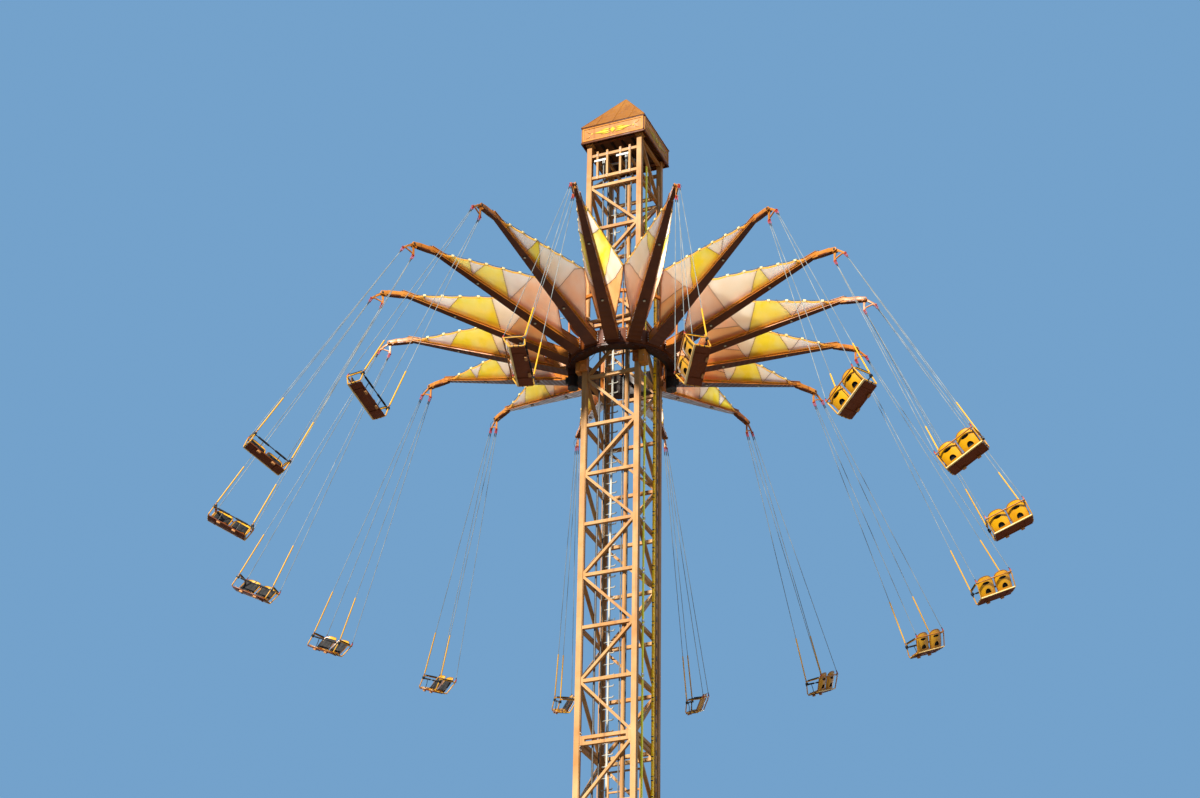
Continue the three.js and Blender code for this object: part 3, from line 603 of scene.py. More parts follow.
LEAVES = [(0.09, 0.0, 0.44, 0.038), (0.07, 0.06, 0.26, 0.018), (0.07, -0.06, 0.26, 0.018)]


def rectangle(half, low, high):
    return [(-half, low), (half, low), (half, high), (-half, high)]


def ornament():
    """The raised ornament of one fascia side, in the panel's own X and Y."""
    here = Matrix()
    diamond = [(-0.075, 0), (0, -0.085), (0.075, 0), (0, 0.085)]
    border = rectangle(0.838, panel_foot - 0.004, panel_top)
    opening = rectangle(0.79, panel_foot + 0.04, panel_top - 0.035)
    pieces = [flat_plate(diamond, 0.014, here, ornament_paint, bevel=0.003),
              flat_plate(border, 0.014, here, frame_gold, [opening], 0.003)]
    for side in (-1, 1):
        mirror = Matrix.Scale(side, 4, (1, 0, 0))
        for x, y, length, width in LEAVES:
            pieces.append(flat_plate(leaf(x, y, length, width), 0.012, mirror, ornament_paint, bevel=0.002))
        pieces.append(flat_plate(arc(side * 0.57, 0, 0.022, 0.022, 0, 340, 17), 0.012, here, ornament_paint))
        for y in (-0.075, 0.075):
            tilted = mirror @ move(0.62, y * 0.6, 0) @ turn(math.copysign(32, y), "Z")
            pieces.append(flat_plate(leaf(0, 0, 0.13, 0.022), 0.01, tilted, frame_gold, bevel=0.002))
    return join(*pieces)


def on_fascia(mesh, proud):
    """A mesh on all four sides of the fascia, with its middle plane proud of them."""
    in_front = move(0, -FASCIA - proud, panel_z) @ turn(90, "X")
    return placed(mesh, *[quarter @ in_front for quarter in quarters])


panel_z = (fascia_low.z + fascia_high.z) / 2
panel_foot, panel_top = fascia_low.z - panel_z + 0.06, fascia_high.z - panel_z - 0.045
panel = flat_plate(rectangle(0.83, panel_foot, panel_top), 0.006, Matrix(), panel_paint, bevel=0.001)
quarters = [turn(90 * quarter, "Z") for quarter in range(4)]
cap_top = fascia_low.z + 0.038
steps = ((0.1, cap_top - 0.044, cap_top - 0.004), (0.07, cap_top - 0.072, cap_top - 0.044))
caps = boxes([block(x, y, low, high, half, half) for half, low, high in steps
              for x in (-MAST_HALF, MAST_HALF) for y in (-MAST_HALF, MAST_HALF)], mast_paint, 0.004)
show("post_caps", caps, "mast")
show("fascia_panels", on_fascia(panel, 0.003), "mast")
show("fascia_ornaments", on_fascia(ornament(), 0.011), "mast")
trims = []
for low, high, proud in ((fascia_low.z - 0.004, fascia_low.z + 0.045, 0.016),
                         (fascia_high.z - 0.035, fascia_high.z - 0.002, 0.012)):
    reach = FASCIA + proud
    for side in (-1, 1):
        trims.append(((-reach, side * reach, low), (reach, side * (FASCIA - 0.02), high)))
        trims.append(((side * reach, -reach, low), (side * (FASCIA - 0.02), reach, high)))
show("fascia_trims", boxes(trims, trim_paint, 0.004), "mast")

soffit_z = fascia_low.z + 0.078
soffit = boxes([block(0, 0, soffit_z, soffit_z + 0.012, 0.795, 0.795)], soffit_paint)
ribs = boxes([block(x, 0, soffit_z - 0.035, soffit_z, 0.03, 0.79) for x in (-0.42, -0.14, 0.14, 0.42)],
             rib_paint, 0.003)
show("roof_soffit", join(soffit, ribs), "mast")
roof_rise = roof_high.z - roof_low.z
ridge_lines = []
for quarter in quarters:
    for share in (-0.5, 0, 0.5, 1):
        foot = Vector((share * roof_high.x, -roof_high.x, roof_low.z + 0.003))
        meets = abs(share) if share < 1 else 0
        at = share * roof_high.x if share < 1 else 0
        top = Vector((at, -meets * roof_high.x, roof_high.z - roof_rise * meets - 0.004))
        ridge_lines.append([tuple(quarter @ foot.lerp(top, t)) for t in (0.01, 0.97)])
show("roof_seams", bars(ridge_lines, 0.009, roof_paint, 6), "mast")

# Lift carriage. A black slewing ring round the mast, on guide shoes with orange covers. Two
# motors with cooling fins drive the star, and a cabinet holds their switches.
RING_BASE = TIP - 1.49
SHOE_REACH, FLANGE_INNER = 0.865, 1.17

black_paint = paint("carriage paint", srgb(25, 21, 19), srgb(39, 34, 30), srgb(69, 47, 28))
orange_paint = paint("orange paint", srgb(153, 89, 21), srgb(168, 111, 45), srgb(89, 45, 15))


def carriage_finish():
    """Black drum and drives, an outer flange in the dark brown of the arms' undersides, partly painted shade,
    and rusty orange guide shoes at the chords.
    """
    material, tree, shader = new_material("carriage finish")
    x, y, z = node(tree, "ShaderNodeSeparateXYZ", {0: place(tree)})
    reach = maths(tree, "MAXIMUM", maths(tree, "ABSOLUTE", x), maths(tree, "ABSOLUTE", y))
    on_shoe = maths(tree, "LESS_THAN", reach, SHOE_REACH)
    square = maths(tree, "ADD", maths(tree, "MULTIPLY", x, x), maths(tree, "MULTIPLY", y, y))
    on_flange = maths(tree, "GREATER_THAN", square, FLANGE_INNER ** 2)
    black = tints(tree, 3, 4, 0.4, 0.7, srgb(24, 18, 14), srgb(50, 32, 20))
    # The outer flange takes the arms' underside brown: partly paint, partly painted shade.
    brown = tints(tree, 3, 4, 0.4, 0.7, srgb(50, 21, 8), srgb(64, 30, 13))
    orange = tints(tree, 2, 4, 0.4, 0.7, srgb(160, 88, 28), srgb(186, 112, 46))
    base = blend(tree, on_flange, blend(tree, on_shoe, black, orange), brown)
    grime = between(tree, clouds(tree, 8, 4, (1, 1, 0.4)), 0.5, 0.75, 0, 0.7)
    base = blend(tree, grime, base, srgb(52, 30, 16))
    finish(tree, shader, base, clouds(tree, 60, 2), 0.002, uneven(tree, 5, 0.35, 0.6), MATT)
    return material


dress(carriage_finish(), "carriage_frame")
ring_bolts = [(1.3 * math.cos(angle), 1.3 * math.sin(angle), RING_BASE - 0.008)
              for angle in (math.tau * (k + 0.5) / 48 for k in range(48))]
slewing_bolts = studs(ring_bolts, Z_WAY, 0.016, 0.02, dark_steel)
show("slewing_bolts", slewing_bolts, "carriage")
drive_spots = [turn(degrees - 90, "Z") @ move(1.2, 0, RING_BASE) for degrees in (112.5, 292.5)]
fin = ring(0.118, 0.135, -0.006, 0.006, 20, black_paint, 0.002)
fins = placed(fin, *[move(0, 0, -0.2 - 0.028 * k) for k in range(9)])
hood = ring(0.02, 0.128, -0.5, -0.47, 20, dark_steel, 0.004)
terminal_box = boxes([block(0.15, 0, -0.33, -0.2, 0.04, 0.06)], black_paint, 0.006)
show("drive_details", placed(join(fins, hood, terminal_box), *drive_spots), "carriage")
case_low = Vector((MAST_HALF + 0.085, -0.875, RING_BASE - 0.36))
case_high = case_low + Vector((0.17, 0.24, 0.34))
door_low = case_low + Vector((0.012, -0.006, 0.015))
door_high = (case_high.x - 0.012, case_low.y + 0.002, case_high.z - 0.015)
cover_low = (-MAST_HALF - 0.2, -0.85, RING_BASE - 0.3)
cover_high = (-MAST_HALF - 0.09, -0.66, RING_BASE - 0.01)
cabinet_parts = [boxes([(low, high)], orange_paint, bevel) for low, high, bevel in (
    (case_low, case_high, 0.008), (door_low, door_high, 0.003), (cover_low, cover_high, 0.006))]
latch_at = (case_high.x - 0.03, case_low.y - 0.01, case_low.z + 0.17)
latch = studs([latch_at], (0, -1, 0), 0.012, 0.014, galvanised, 12)
show("switch_cabinet", join(*cabinet_parts, latch), "carriage")

# Star. Sixteen tapering box girders are bolted to a slewing hub. Their undersides are dark
# brown, partly their own paint and partly painted shade, their sides orange, and the flanges
# stand out from the webs by a centimetre.
ARM_ROOT, ARM_BEND, TIP_RADIUS = 1.27, 5.5, 6.0
HUB_INNER, HUB_OUTER = 1.26, 1.35
UNDERSIDE_SHARE = -0.75


def spoke(index):
    """The frame of an arm: X outwards, Y the way that the star turns, Z up."""
    return turn(11.25 + 22.5 * index - 90, "Z")


def arm_section(radius):
    """Underside, top and half the width of an arm at a radius."""
    share = (radius - ARM_ROOT) / (ARM_BEND - ARM_ROOT)
    low = TIP - 1.404 + share * 1.374
    return low, low + 0.26 - share * 0.135, (0.35 - share * 0.23) / 2


def girder_ring(radius):
    """The section of an arm: two flanges and, a little inside their edges, two webs."""
    low, top, half = arm_section(radius)
    web, flange = half - 0.011, 0.014
    right = [(half, low), (half, low + flange), (web, low + flange), (web, top - flange),
             (half, top - flange), (half, top)]
    return [(radius, y, z) for y, z in right + [(-y, z) for y, z in reversed(right)]]


def rippled(name, colour, faded):
    """Smooth dark paint on thin plate, which the welded ribs behind it have drawn into ripples. Used for
    undersides, its dark colour is partly painted shade.
    """
    material, tree, shader = new_material(name)
    ripples = node(tree, "ShaderNodeTexWave", {"Vector": place(tree), "Scale": 2.2, "Distortion": 0.6},
                   wave_type="RINGS", rings_direction="Z")[1]
    base = tints(tree, 3, 4, 0.4, 0.7, colour, faded)
    finish(tree, shader, base, ripples, 0.006, uneven(tree, 5, 0.28, 0.42), MATT)
    return material


# Dark brown for the faces that point down, the arm roots and the hub: partly paint, partly painted shade.
underside_shade_paint = rippled("underside paint and painted shade", srgb(78, 35, 7), srgb(91, 44, 11))


def with_shaded_underside(mesh):
    """The same mesh with dark brown on the faces that point down: partly paint, partly painted shade."""
    mesh.materials.append(underside_shade_paint)
    for polygon in mesh.polygons:
        if polygon.normal.z < UNDERSIDE_SHARE:
            polygon.material_index = len(mesh.materials) - 1
    return mesh


def loft(rings, material):
    """A closed skin through rings of points, with flat ends and dark brown below, partly painted shade."""
    shape = bmesh.new()
    loops = [[shape.verts.new(point) for point in ring] for ring in rings]
    for first, second in zip(loops, loops[1:]):
        bridge(shape, first, second)
    shape.faces.new(reversed(loops[0]))
    shape.faces.new(loops[-1])
    return with_shaded_underside(to_mesh(shape, material))


star_paint = paint("star paint", srgb(152, 84, 15), srgb(169, 107, 33), srgb(92, 45, 11), 0.4, 0.6)
fork_paint = paint("fork paint", srgb(158, 90, 21), srgb(171, 112, 43), srgb(92, 45, 15), 0.35, 0.6)
girder_radii = [ARM_ROOT + k * (ARM_BEND - ARM_ROOT) / 8 for k in range(9)]
girder = loft([girder_ring(radius) for radius in girder_radii], star_paint)
stiffeners = []
for k in range(7):
    radius = 1.75 + 0.55 * k
    low, top, half = arm_section(radius)
    for side in (-1, 1):
        stiffeners.append(((radius - 0.005, side * (half - 0.014), low + 0.01),
                           (radius + 0.005, side * (half - 0.001), top - 0.01)))
root_low, root_top, root_half = arm_section(HUB_OUTER)
root_flange = boxes([((HUB_OUTER - 0.004, -root_half - 0.03, root_low - 0.01),
                      (HUB_OUTER + 0.022, root_half + 0.03, root_top + 0.03))], underside_shade_paint, 0.004)
root_bolts = studs([(HUB_OUTER + 0.028, side * (root_half + 0.014), root_low + 0.03 + 0.066 * k)
                    for side in (-1, 1) for k in range(4)], X_WAY, 0.013, 0.014, galvanised)
spokes = [spoke(index) for index in range(16)]
one_arm = join(girder, boxes(stiffeners, star_paint, 0.001), root_flange, root_bolts)
arms = show("star_arms", placed(one_arm, *spokes), "star")
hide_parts("arm_star")

# Arm tips. The girder ends in a raised nose with a dark knob and a dark brown underside, partly
# painted shade, and two cheeks with round ends hold the pin of a swing, which has a hexagon nut
# on both sides.
CHEEK_Y, CHEEK = 0.052, 0.02

nose_outline = [(5.40, -0.05), (5.80, -0.05), (5.885, -0.036), *arc(5.85, 0.04, 0.05, 0.046, -20, 90, 6),
                (5.60, 0.088), *arc(5.52, 0.07, 0.05, 0.032, 60, 150, 4), (5.40, 0.072)]
cheek_outline = [(5.80, -0.036), (5.98, -0.05), *arc(TIP_RADIUS, 0, 0.054, 0.054, -100, 100, 12),
                 (5.80, 0.075)]
upright = Matrix(((1, 0, 0, 0), (0, 0, -1, 0), (0, 1, 0, PIN_Z), (0, 0, 0, 1)))
nose = flat_plate(nose_outline, 0.104, upright, fork_paint, bevel=0.008)
plates = [nose] + [flat_plate(cheek_outline, CHEEK, move(0, y, 0) @ upright, fork_paint, bevel=0.003)
                   for y in (-CHEEK_Y, CHEEK_Y)]
plates = [with_shaded_underside(plate) for plate in plates]
# A dark brown block under the nose: its underside, partly its own paint and partly painted shade.
nose_dark_underside = boxes([block(5.71, 0, PIN_Z - 0.054, PIN_Z - 0.01, 0.16, 0.0555)], underside_shade_paint, 0.008)
nuts = studs([(TIP_RADIUS, y, PIN_Z) for y in (-0.071, 0.071)], Y_WAY, 0.027, 0.018, dark_steel)
pin = studs([(TIP_RADIUS, 0, PIN_Z)], Y_WAY, 0.0195, 0.165, dark_steel, 16)
knobs = [studs([(5.53, 0, PIN_Z + z)], Z_WAY, radius, 0.022, black_plastic, 16)
         for z, radius in ((0.108, 0.034), (0.126, 0.028), (0.142, 0.017))]
one_tip = join(*plates, nose_dark_underside, nuts, pin, *knobs)
show("arm_tips", placed(one_tip, *spokes), "star")

# Lamps. Two round lamps with cream plastic glass are set in the underside of each arm, each
# held by a dark steel rim.
LAMP_RADII = (2.55, 4.19)

cream_glass = plastic("lamp glass", srgb(191, 182, 161), srgb(171, 156, 124), 0.2)
lamp_parts = []
for drop, size, height, material in ((0.008, 0.028, 0.03, cream_glass), (0.002, 0.042, 0.014, dark_steel)):
    feet = [(radius, 0, arm_section(radius)[0] - drop) for radius in LAMP_RADII]
    lamp_parts.append(studs(feet, Z_WAY, size, height, material, 14))
show("arm_lamps", placed(join(*lamp_parts), *spokes), "star")

# Hub. The slewing hub under the arms, and the ring on eight posts above it that holds the
# knots of the sails outwards with thin rods.
HUB_BASE, UPPER_RING, UPPER_Z, KNOT_RADIUS = RING_BASE + 0.0603, 1.34, TIP + 0.04, 2.5

# The hub ring is dark brown all round: partly paint, partly painted shade.
hub = ring(HUB_INNER, HUB_OUTER, HUB_BASE, HUB_BASE + 0.38, 64, underside_shade_paint, 0.006)
upper_ring = ring(UPPER_RING - 0.035, UPPER_RING + 0.035, UPPER_Z - 0.05, UPPER_Z + 0.03, 64,
                  star_paint, 0.005)
halfway = [spoke(index + 0.5) for index in range(16)]
posts = bars([[(1.305, 0, HUB_BASE + 0.34), (UPPER_RING, 0, UPPER_Z - 0.04)]], 0.024, star_paint, 12)
feet = boxes([block(1.305, 0, HUB_BASE + 0.378, HUB_BASE + 0.392, 0.04, 0.06)], star_paint, 0.003)
rods = bars([[(UPPER_RING + 0.02, 0, UPPER_Z), (KNOT_RADIUS - 0.03, 0, UPPER_Z)]], 0.007, dark_steel, 8)
turnbuckle = bars([[(UPPER_RING + 0.16, 0, UPPER_Z), (UPPER_RING + 0.36, 0, UPPER_Z)]], 0.014, galvanised, 8)
knot_outline = [(-0.045, -0.03), (0.02, -0.034), (0.03, 0), (0.02, 0.034), (-0.045, 0.03)]
knot_plate = flat_plate(knot_outline, 0.012, move(KNOT_RADIUS, 0, UPPER_Z - 0.016), galvanised, bevel=0.002)
post_set = placed(join(posts, feet), *halfway[::2])
show("star_hub", join(hub, upper_ring, post_set), "star")
show("star_stays", placed(join(rods, turnbuckle, knot_plate), *halfway), "star")

# Sails. Each arm carries two canvas panels in a V, laced to its sides and drawn up to the knots
# halfway to the next arms. They are patchwork with a golden hem and an orange inner tube.
SAIL_ROOT, SAIL_TIP, KNOT_FOOT = 1.70, 5.38, KNOT_RADIUS * math.cos(math.pi / 16)
HEM, FOOT_HEM, SAG, CREASE, MESH_SIZE, FOOT_SHARE = 0.042, 0.03, 0.03, 0.035, 0.07, 0.24
LUGS = [4.98, 4.55, 4.12, 3.68, 3.25, 2.82]


def dirt_and_shade_share(tree, most):
    """How much dirt and painted shade a point takes, from 0 up to a limit, as its mesh says."""
    dirt_and_shade = node(tree, "ShaderNodeAttribute", attribute_name="dirt_and_shade")["Fac"]
    return between(tree, dirt_and_shade, 0, 1, 0, most)


def canvas(name, colour, shade, glow=0.94):
    """Coated canvas that lets some light through: stains, a weave, and darkening at its seams and edges that
    is partly dirt and partly painted shade.
    """
    material, tree, shader = new_material(name)
    base = tints(tree, 2.2, 5, 0.38, 0.72, colour, shade)
    base = blend(tree, between(tree, clouds(tree, 14, 4), 0.6, 0.78, 0, 0.35), base, shade)
    # Dark brown near seams and edges: partly dirt, partly painted shade of the doubled cloth.
    base = blend(tree, dirt_and_shade_share(tree, 0.24), base, srgb(196, 132, 76))
    threads = {"Vector": place(tree), "Scale": 90}
    weave = maths(tree, "MULTIPLY", *[node(tree, "ShaderNodeTexWave", threads, bands_direction=way)[1]
                                      for way in ("X", "Z")])
    height = maths(tree, "MULTIPLY_ADD", weave, 0.03, clouds(tree, 4, 5, (1, 1, 2.2)))
    finish(tree, shader, base, height, 0.02, uneven(tree, 6, 0.6, 0.85), {"Sheen Weight": 0.2})
    light_through = node(tree, "ShaderNodeGamma", {"Color": base, "Gamma": 0.5})[0]
    through = node(tree, "ShaderNodeBsdfTranslucent", {"Color": light_through})[0]
    mixed = node(tree, "ShaderNodeMixShader", {0: glow, 1: shader.outputs[0], 2: through})[0]
    tree.links.new(mixed, tree.nodes["Material Output"].inputs["Surface"])
    return material


CANVAS = {
    "yellow": canvas("yellow canvas", srgb(255, 230, 60), srgb(255, 240, 156)),
    "white": canvas("white canvas", srgb(255, 242, 218), srgb(252, 230, 196)),
    "grey": canvas("grey canvas", srgb(250, 240, 226), srgb(240, 224, 204)),
    "peach": canvas("peach canvas", srgb(254, 220, 184), srgb(248, 196, 150)),
    "orange": canvas("orange canvas", srgb(254, 204, 136), srgb(246, 180, 106)),
    "hem": canvas("golden hem", srgb(250, 196, 60), srgb(242, 184, 66), 0.75),
}
# A corner of a patch is on the outer edge or on the arm at a radius, or at a radius and a
# height share above the arm, where 1 is as high as the knot.
OUTER, ARM = "outer", "arm"
KNOT = (KNOT_FOOT, 1.0)
INNER_EDGE = [KNOT, (2.25, 0.79), (2.07, 0.40), (1.87, 0.03), (ARM, SAIL_ROOT)]
PATTERNS = [
    [("yellow", [(ARM, 5.38), (OUTER, 4.97), (ARM, 5.1)]),
     ("grey", [(OUTER, 4.97), (OUTER, 4.49), (ARM, 4.24), (ARM, 5.1)]),
     ("white", [(OUTER, 4.49), (OUTER, 3.87), (ARM, 4.24)]),
     ("yellow", [(OUTER, 3.87), (OUTER, 3.37), (ARM, 3.15), (ARM, 4.24)]),
     ("white", [(OUTER, 3.37), KNOT, (2.65, 0.64), (2.93, 0.21), (ARM, 3.12), (ARM, 3.15)]),
     ("peach", [KNOT, (2.25, 0.79), (2.07, 0.40), (2.93, 0.21), (2.65, 0.64)]),
     ("orange", [(2.07, 0.40), (1.87, 0.03), (ARM, 1.7), (ARM, 3.12), (2.93, 0.21)])],
    [("yellow", [(ARM, 5.38), (OUTER, 5.03), (ARM, 4.95)]),
     ("grey", [(OUTER, 5.03), (OUTER, 4.07), (ARM, 4.28), (ARM, 4.95)]),
     ("yellow", [(OUTER, 4.07), (OUTER, 4.03), (ARM, 3.74), (ARM, 4.28)]),
     ("white", [(OUTER, 4.03), KNOT, (2.72, 0.76), (ARM, 3.05), (ARM, 3.74)]),
     ("peach", [*INNER_EDGE, (ARM, 3.05), (2.72, 0.76)])],
    [("yellow", [(ARM, 5.38), (OUTER, 4.57), (ARM, 4.41)]),
     ("grey", [(OUTER, 4.57), (OUTER, 4.13), (ARM, 4.41)]),
     ("yellow", [(OUTER, 4.13), (OUTER, 3.73), (ARM, 3.39), (ARM, 4.41)]),
     ("grey", [(OUTER, 3.73), (OUTER, 2.88), (ARM, 3.37), (ARM, 3.39)]),
     ("peach", [(OUTER, 2.88), *INNER_EDGE, (ARM, 3.37)])],
    [("yellow", [(ARM, 5.38), (OUTER, 5.0), (ARM, 4.95)]),
     ("grey", [(OUTER, 5.0), (OUTER, 4.12), (ARM, 4.39), (ARM, 4.95)]),
     ("yellow", [(OUTER, 4.12), (OUTER, 3.37), (ARM, 3.06), (ARM, 4.39)]),
     ("white", [(OUTER, 3.37), KNOT, (2.6, 0.5), (ARM, 2.9), (ARM, 3.06)]),
     ("orange", [*INNER_EDGE, (ARM, 2.9), (2.6, 0.5)])],
]
PATTERN_OF_ARM = [3, 1, 0, 1, 0, 0, 0, 2, 1, 3, 3, 2, 3, 3, 2, 1]


class Panel:
    """The flat frame of one panel: X along the arm's edge, Y up, with its surface in the air."""

    def __init__(self, side, seed):
        self.side, self.seed = side, seed
        self.root = self.on_arm(SAIL_ROOT)
        self.along = (self.on_arm(SAIL_TIP) - self.root).normalized()
        knot = Vector((KNOT_FOOT, side * (KNOT_RADIUS * math.sin(math.pi / 16) - 0.012), UPPER_Z))
        self.rise = knot - self.on_arm(KNOT_FOOT)
        away = knot - self.root
        self.up = (away - self.along * away.dot(self.along)).normalized()

    def on_arm(self, radius):
        low, top, half = arm_section(radius)
        return Vector((radius, self.side * (half + 0.008), low + FOOT_SHARE * (top - low)))

    def flat(self, corner):
        """Where a corner of a patch is in the flat frame."""
        radius, height = corner
        if radius == ARM:
            radius, height = height, 0
        elif radius == OUTER:
            radius, height = height, (SAIL_TIP - height) / (SAIL_TIP - KNOT_FOOT)
        away = self.on_arm(radius) + self.rise * height - self.root
        return Vector((away.dot(self.along), away.dot(self.up)))

    def surface(self, point):
        """Where a flat point is on the ride, with the cloth's sag and creases."""
        share = max(0, min(1, point.y / self.rise.dot(self.up)))
        room = min(1, max(0, point.y - 0.05) / 0.14) * (1 - share)
        folds = noise.noise(Vector((point.x * 1.1 - point.y * 1.5, point.y * 4.5 + point.x * 0.9, self.seed)))
        small = noise.noise(Vector((point.x * 4 + point.y * 2, point.y * 9, self.seed + 7)))
        sag = SAG * math.sin(math.pi * max(0, min(1, point.x / 3.6)))
        lift = room * (sag + CREASE * folds + 0.008 * small)
        normal = self.along.cross(self.up) * -self.side
        return self.root + self.along * point.x + self.up * point.y + normal * lift

    def outer_edge(self):
        """The scalloped outer edge, which reaches its cord at the lugs, and the way inwards."""
        tip, knot = self.flat((ARM, SAIL_TIP)), self.flat(KNOT)
        inwards = Vector((-(knot - tip).y, (knot - tip).x)).normalized()
        if inwards.dot(self.flat((ARM, SAIL_ROOT)) - tip) < 0:
            inwards = -inwards
        stops = [tip] + [self.flat((OUTER, radius)) for radius in LUGS] + [knot]
        edge = []
        for first, second in zip(stops, stops[1:]):
            depth = 0.045 * min(1, (second - first).length)
            for t in (k / 8 for k in range(8)):
                edge.append(first.lerp(second, t) + inwards * (0.006 + depth * math.sin(math.pi * t)))
        return edge + [knot], inwards


def along_path(path, step):
    """The points of a path with more between them, at most a step apart."""
    dense = []
    for first, second in zip(path, path[1:]):
        count = max(1, math.ceil((second - first).length / step))
        dense += [first.lerp(second, k / count) for k in range(count)]
    return dense + [path[-1]]


def distance(point, first, second):
    """How far a flat point is from a straight stretch."""
    way = second - first
    share = max(0, min(1, (point - first).dot(way) / max(way.length_squared, 1e-9)))
    return (point - first - way * share).length


def nearest(point, lines):
    return min(distance(point, first, second) for first, second in lines)


def fill_points(outline, lines, size):
    """Points in rows inside an outline, clear of its lines."""
    xs, ys = [point[0] for point in outline], [point[1] for point in outline]
    found = []
    for row in range(int((max(ys) - min(ys)) / (size * 0.87)) + 1):
        for column in range(int((max(xs) - min(xs)) / size) + 2):
            point = Vector((min(xs) + (column + (row % 2) / 2) * size, min(ys) + row * size * 0.87))
            if inside(point, outline) and nearest(point, lines) > size * 0.4:
                found.append(point)
    return found


def patch_seams(patches, outline, rims):
    """The stretches between patches, without those on the panel's own edges."""
    found = set()
    for colour, corners in patches:
        for first, second in zip(corners, corners[1:] + corners[:1]):
            middle = (first + second) / 2
            if inside(middle, outline) and nearest(middle, rims) > 0.02:
                found.add(tuple(sorted((tuple(first), tuple(second)))))
    return [[Vector(first), Vector(second)] for first, second in sorted(found)]


def make_sail(index, side):
    """One panel: its mesh, its flat size and area, and the lines that its trim follows."""
    panel = Panel(side, 2 * index + side)
    edge, inwards = panel.outer_edge()
    inner_edge = along_path([panel.flat(corner) for corner in INNER_EDGE], MESH_SIZE)
    arm_edge = along_path([panel.flat((ARM, SAIL_ROOT)), panel.flat((ARM, SAIL_TIP))], MESH_SIZE)
    outline = arm_edge[:-1] + edge[:-1] + inner_edge[:-1]
    rims = list(zip(outline, outline[1:] + outline[:1]))
    patches = [(colour, [panel.flat(corner) for corner in corners])
               for colour, corners in PATTERNS[PATTERN_OF_ARM[index]]]
    seams = [along_path(seam, MESH_SIZE) for seam in patch_seams(patches, outline, rims)]
    lines = rims + [pair for seam in seams for pair in zip(seam, seam[1:])]
    hem_line = [point + inwards * HEM for point in edge[2:-3]]
    # The golden band along the arm edge: partly a wrapped hem, partly painted shade.
    foot_line = [point + Vector((0, FOOT_HEM)) for point in arm_edge[2:-6]]
    inner = fill_points(outline, lines, MESH_SIZE)
    points, triangles = cut_flat(outline, seams=[*seams, hem_line, foot_line], inner=inner)
    mesh = bpy.data.meshes.new("sail")
    mesh.from_pydata([panel.surface(Vector(point)) for point in points], [], triangles)
    colours = sorted({colour for colour, corners in patches} | {"hem"})
    for colour in colours:
        mesh.materials.append(CANVAS[colour])
    hem_edge, foot_edge = list(zip(edge, edge[1:])), list(zip(arm_edge, arm_edge[1:]))
    for polygon, triangle in zip(mesh.polygons, triangles):
        middle = sum((Vector(points[k]) for k in triangle), Vector((0, 0))) / 3
        found = [colour for colour, corners in patches if inside(middle, corners)] or [patches[0][0]]
        in_hem = nearest(middle, hem_edge) < HEM - 0.002 or nearest(middle, foot_edge) < FOOT_HEM - 0.002
        colour = "hem" if in_hem else found[0]
        polygon.material_index = colours.index(colour)
    # Darkening that falls off away from seams and edges: partly dirt, partly painted shade.
    dirt_and_shade = [max(0, 1 - nearest(Vector(point), lines) / (MESH_SIZE * 0.8)) for point in points]
    mesh.attributes.new("dirt_and_shade", "FLOAT", "POINT").data.foreach_set("value", dirt_and_shade)
    mesh.transform(spoke(index))
    area = abs(sum(a.x * b.y - b.x * a.y for a, b in rims)) / 2
    xs, ys = [point.x for point in outline], [point.y for point in outline]

    def on_ride(path):
        return [spoke(index) @ panel.surface(point) for point in path]
    trim = {"seams": [on_ride(seam) for seam in seams], "inner": on_ride(inner_edge),
            "cord": on_ride([panel.flat((ARM, SAIL_TIP)), panel.flat(KNOT)]),
            "lugs": on_ride([panel.flat((OUTER, radius)) + inwards * 0.012 for radius in LUGS])}
    return mesh, (max(xs) - min(xs), max(ys) - min(ys)), area, trim


def lacing_tree():
    """Stitches at a pitch along lines, each lying along its line."""
    tree, given, leave = tree_with("lacing", [("Pitch", "Float"), ("Size", "Vector")])
    lines = node(tree, "GeometryNodeMeshToCurve", {"Mesh": given["Geometry"]})[0]
    inputs = {"Curve": lines, "Length": given["Pitch"]}
    spots = node(tree, "GeometryNodeCurveToPoints", inputs, mode="LENGTH")
    stitch = node(tree, "GeometryNodeMeshCube", {"Size": given["Size"]})[0]
    inputs = {"Points": spots["Points"], "Instance": stitch, "Rotation": spots["Rotation"]}
    stitches = node(tree, "GeometryNodeInstanceOnPoints", inputs)[0]
    return finish_tree(tree, given, leave, stitches)


LACING = lacing_tree()
lace = plastic("lace cord", srgb(69, 38, 20), srgb(89, 54, 32), 0.6)
tube_orange = plastic("inner edge tube", srgb(175, 99, 39), srgb(156, 86, 43), 0.45)
cord_grey = plastic("edge cord", srgb(71, 68, 69), srgb(99, 92, 87), 0.6)
lug_white = plastic("lug webbing", srgb(201, 186, 139), srgb(186, 163, 99), 0.6)
seam_lines, inner_lines, cord_lines, lug_places = [], [], [], []
for index in range(16):
    for side, word in ((-1, "left"), (1, "right")):
        cloth, flat_size, area, trim = make_sail(index, side)
        sail = show(f"sail_{index + 1:02d}_{word}", cloth, "star", 60)
        thickness = sail.modifiers.new("thickness", "SOLIDIFY")
        thickness.thickness, thickness.offset = 0.003, 0
        if index % 4 == 0 and side == -1:
            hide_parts(f"sails_{index // 4 + 1}")
        seam_lines += trim["seams"]
        inner_lines.append(trim["inner"])
        cord_lines.append(trim["cord"])
        facing = (trim["cord"][1] - trim["cord"][0]).to_track_quat("Z", "Y").to_matrix().to_4x4()
        lug_places += [Matrix.Translation(point) @ facing for point in trim["lugs"]]
seam_points, seam_edges = polylines(seam_lines)
stitches = grow(LACING, seam_points, seam_edges, Pitch=0.045, Size=(0.012, 0.012, 0.026), Material=lace)
show("sail_lacing", stitches, "star")
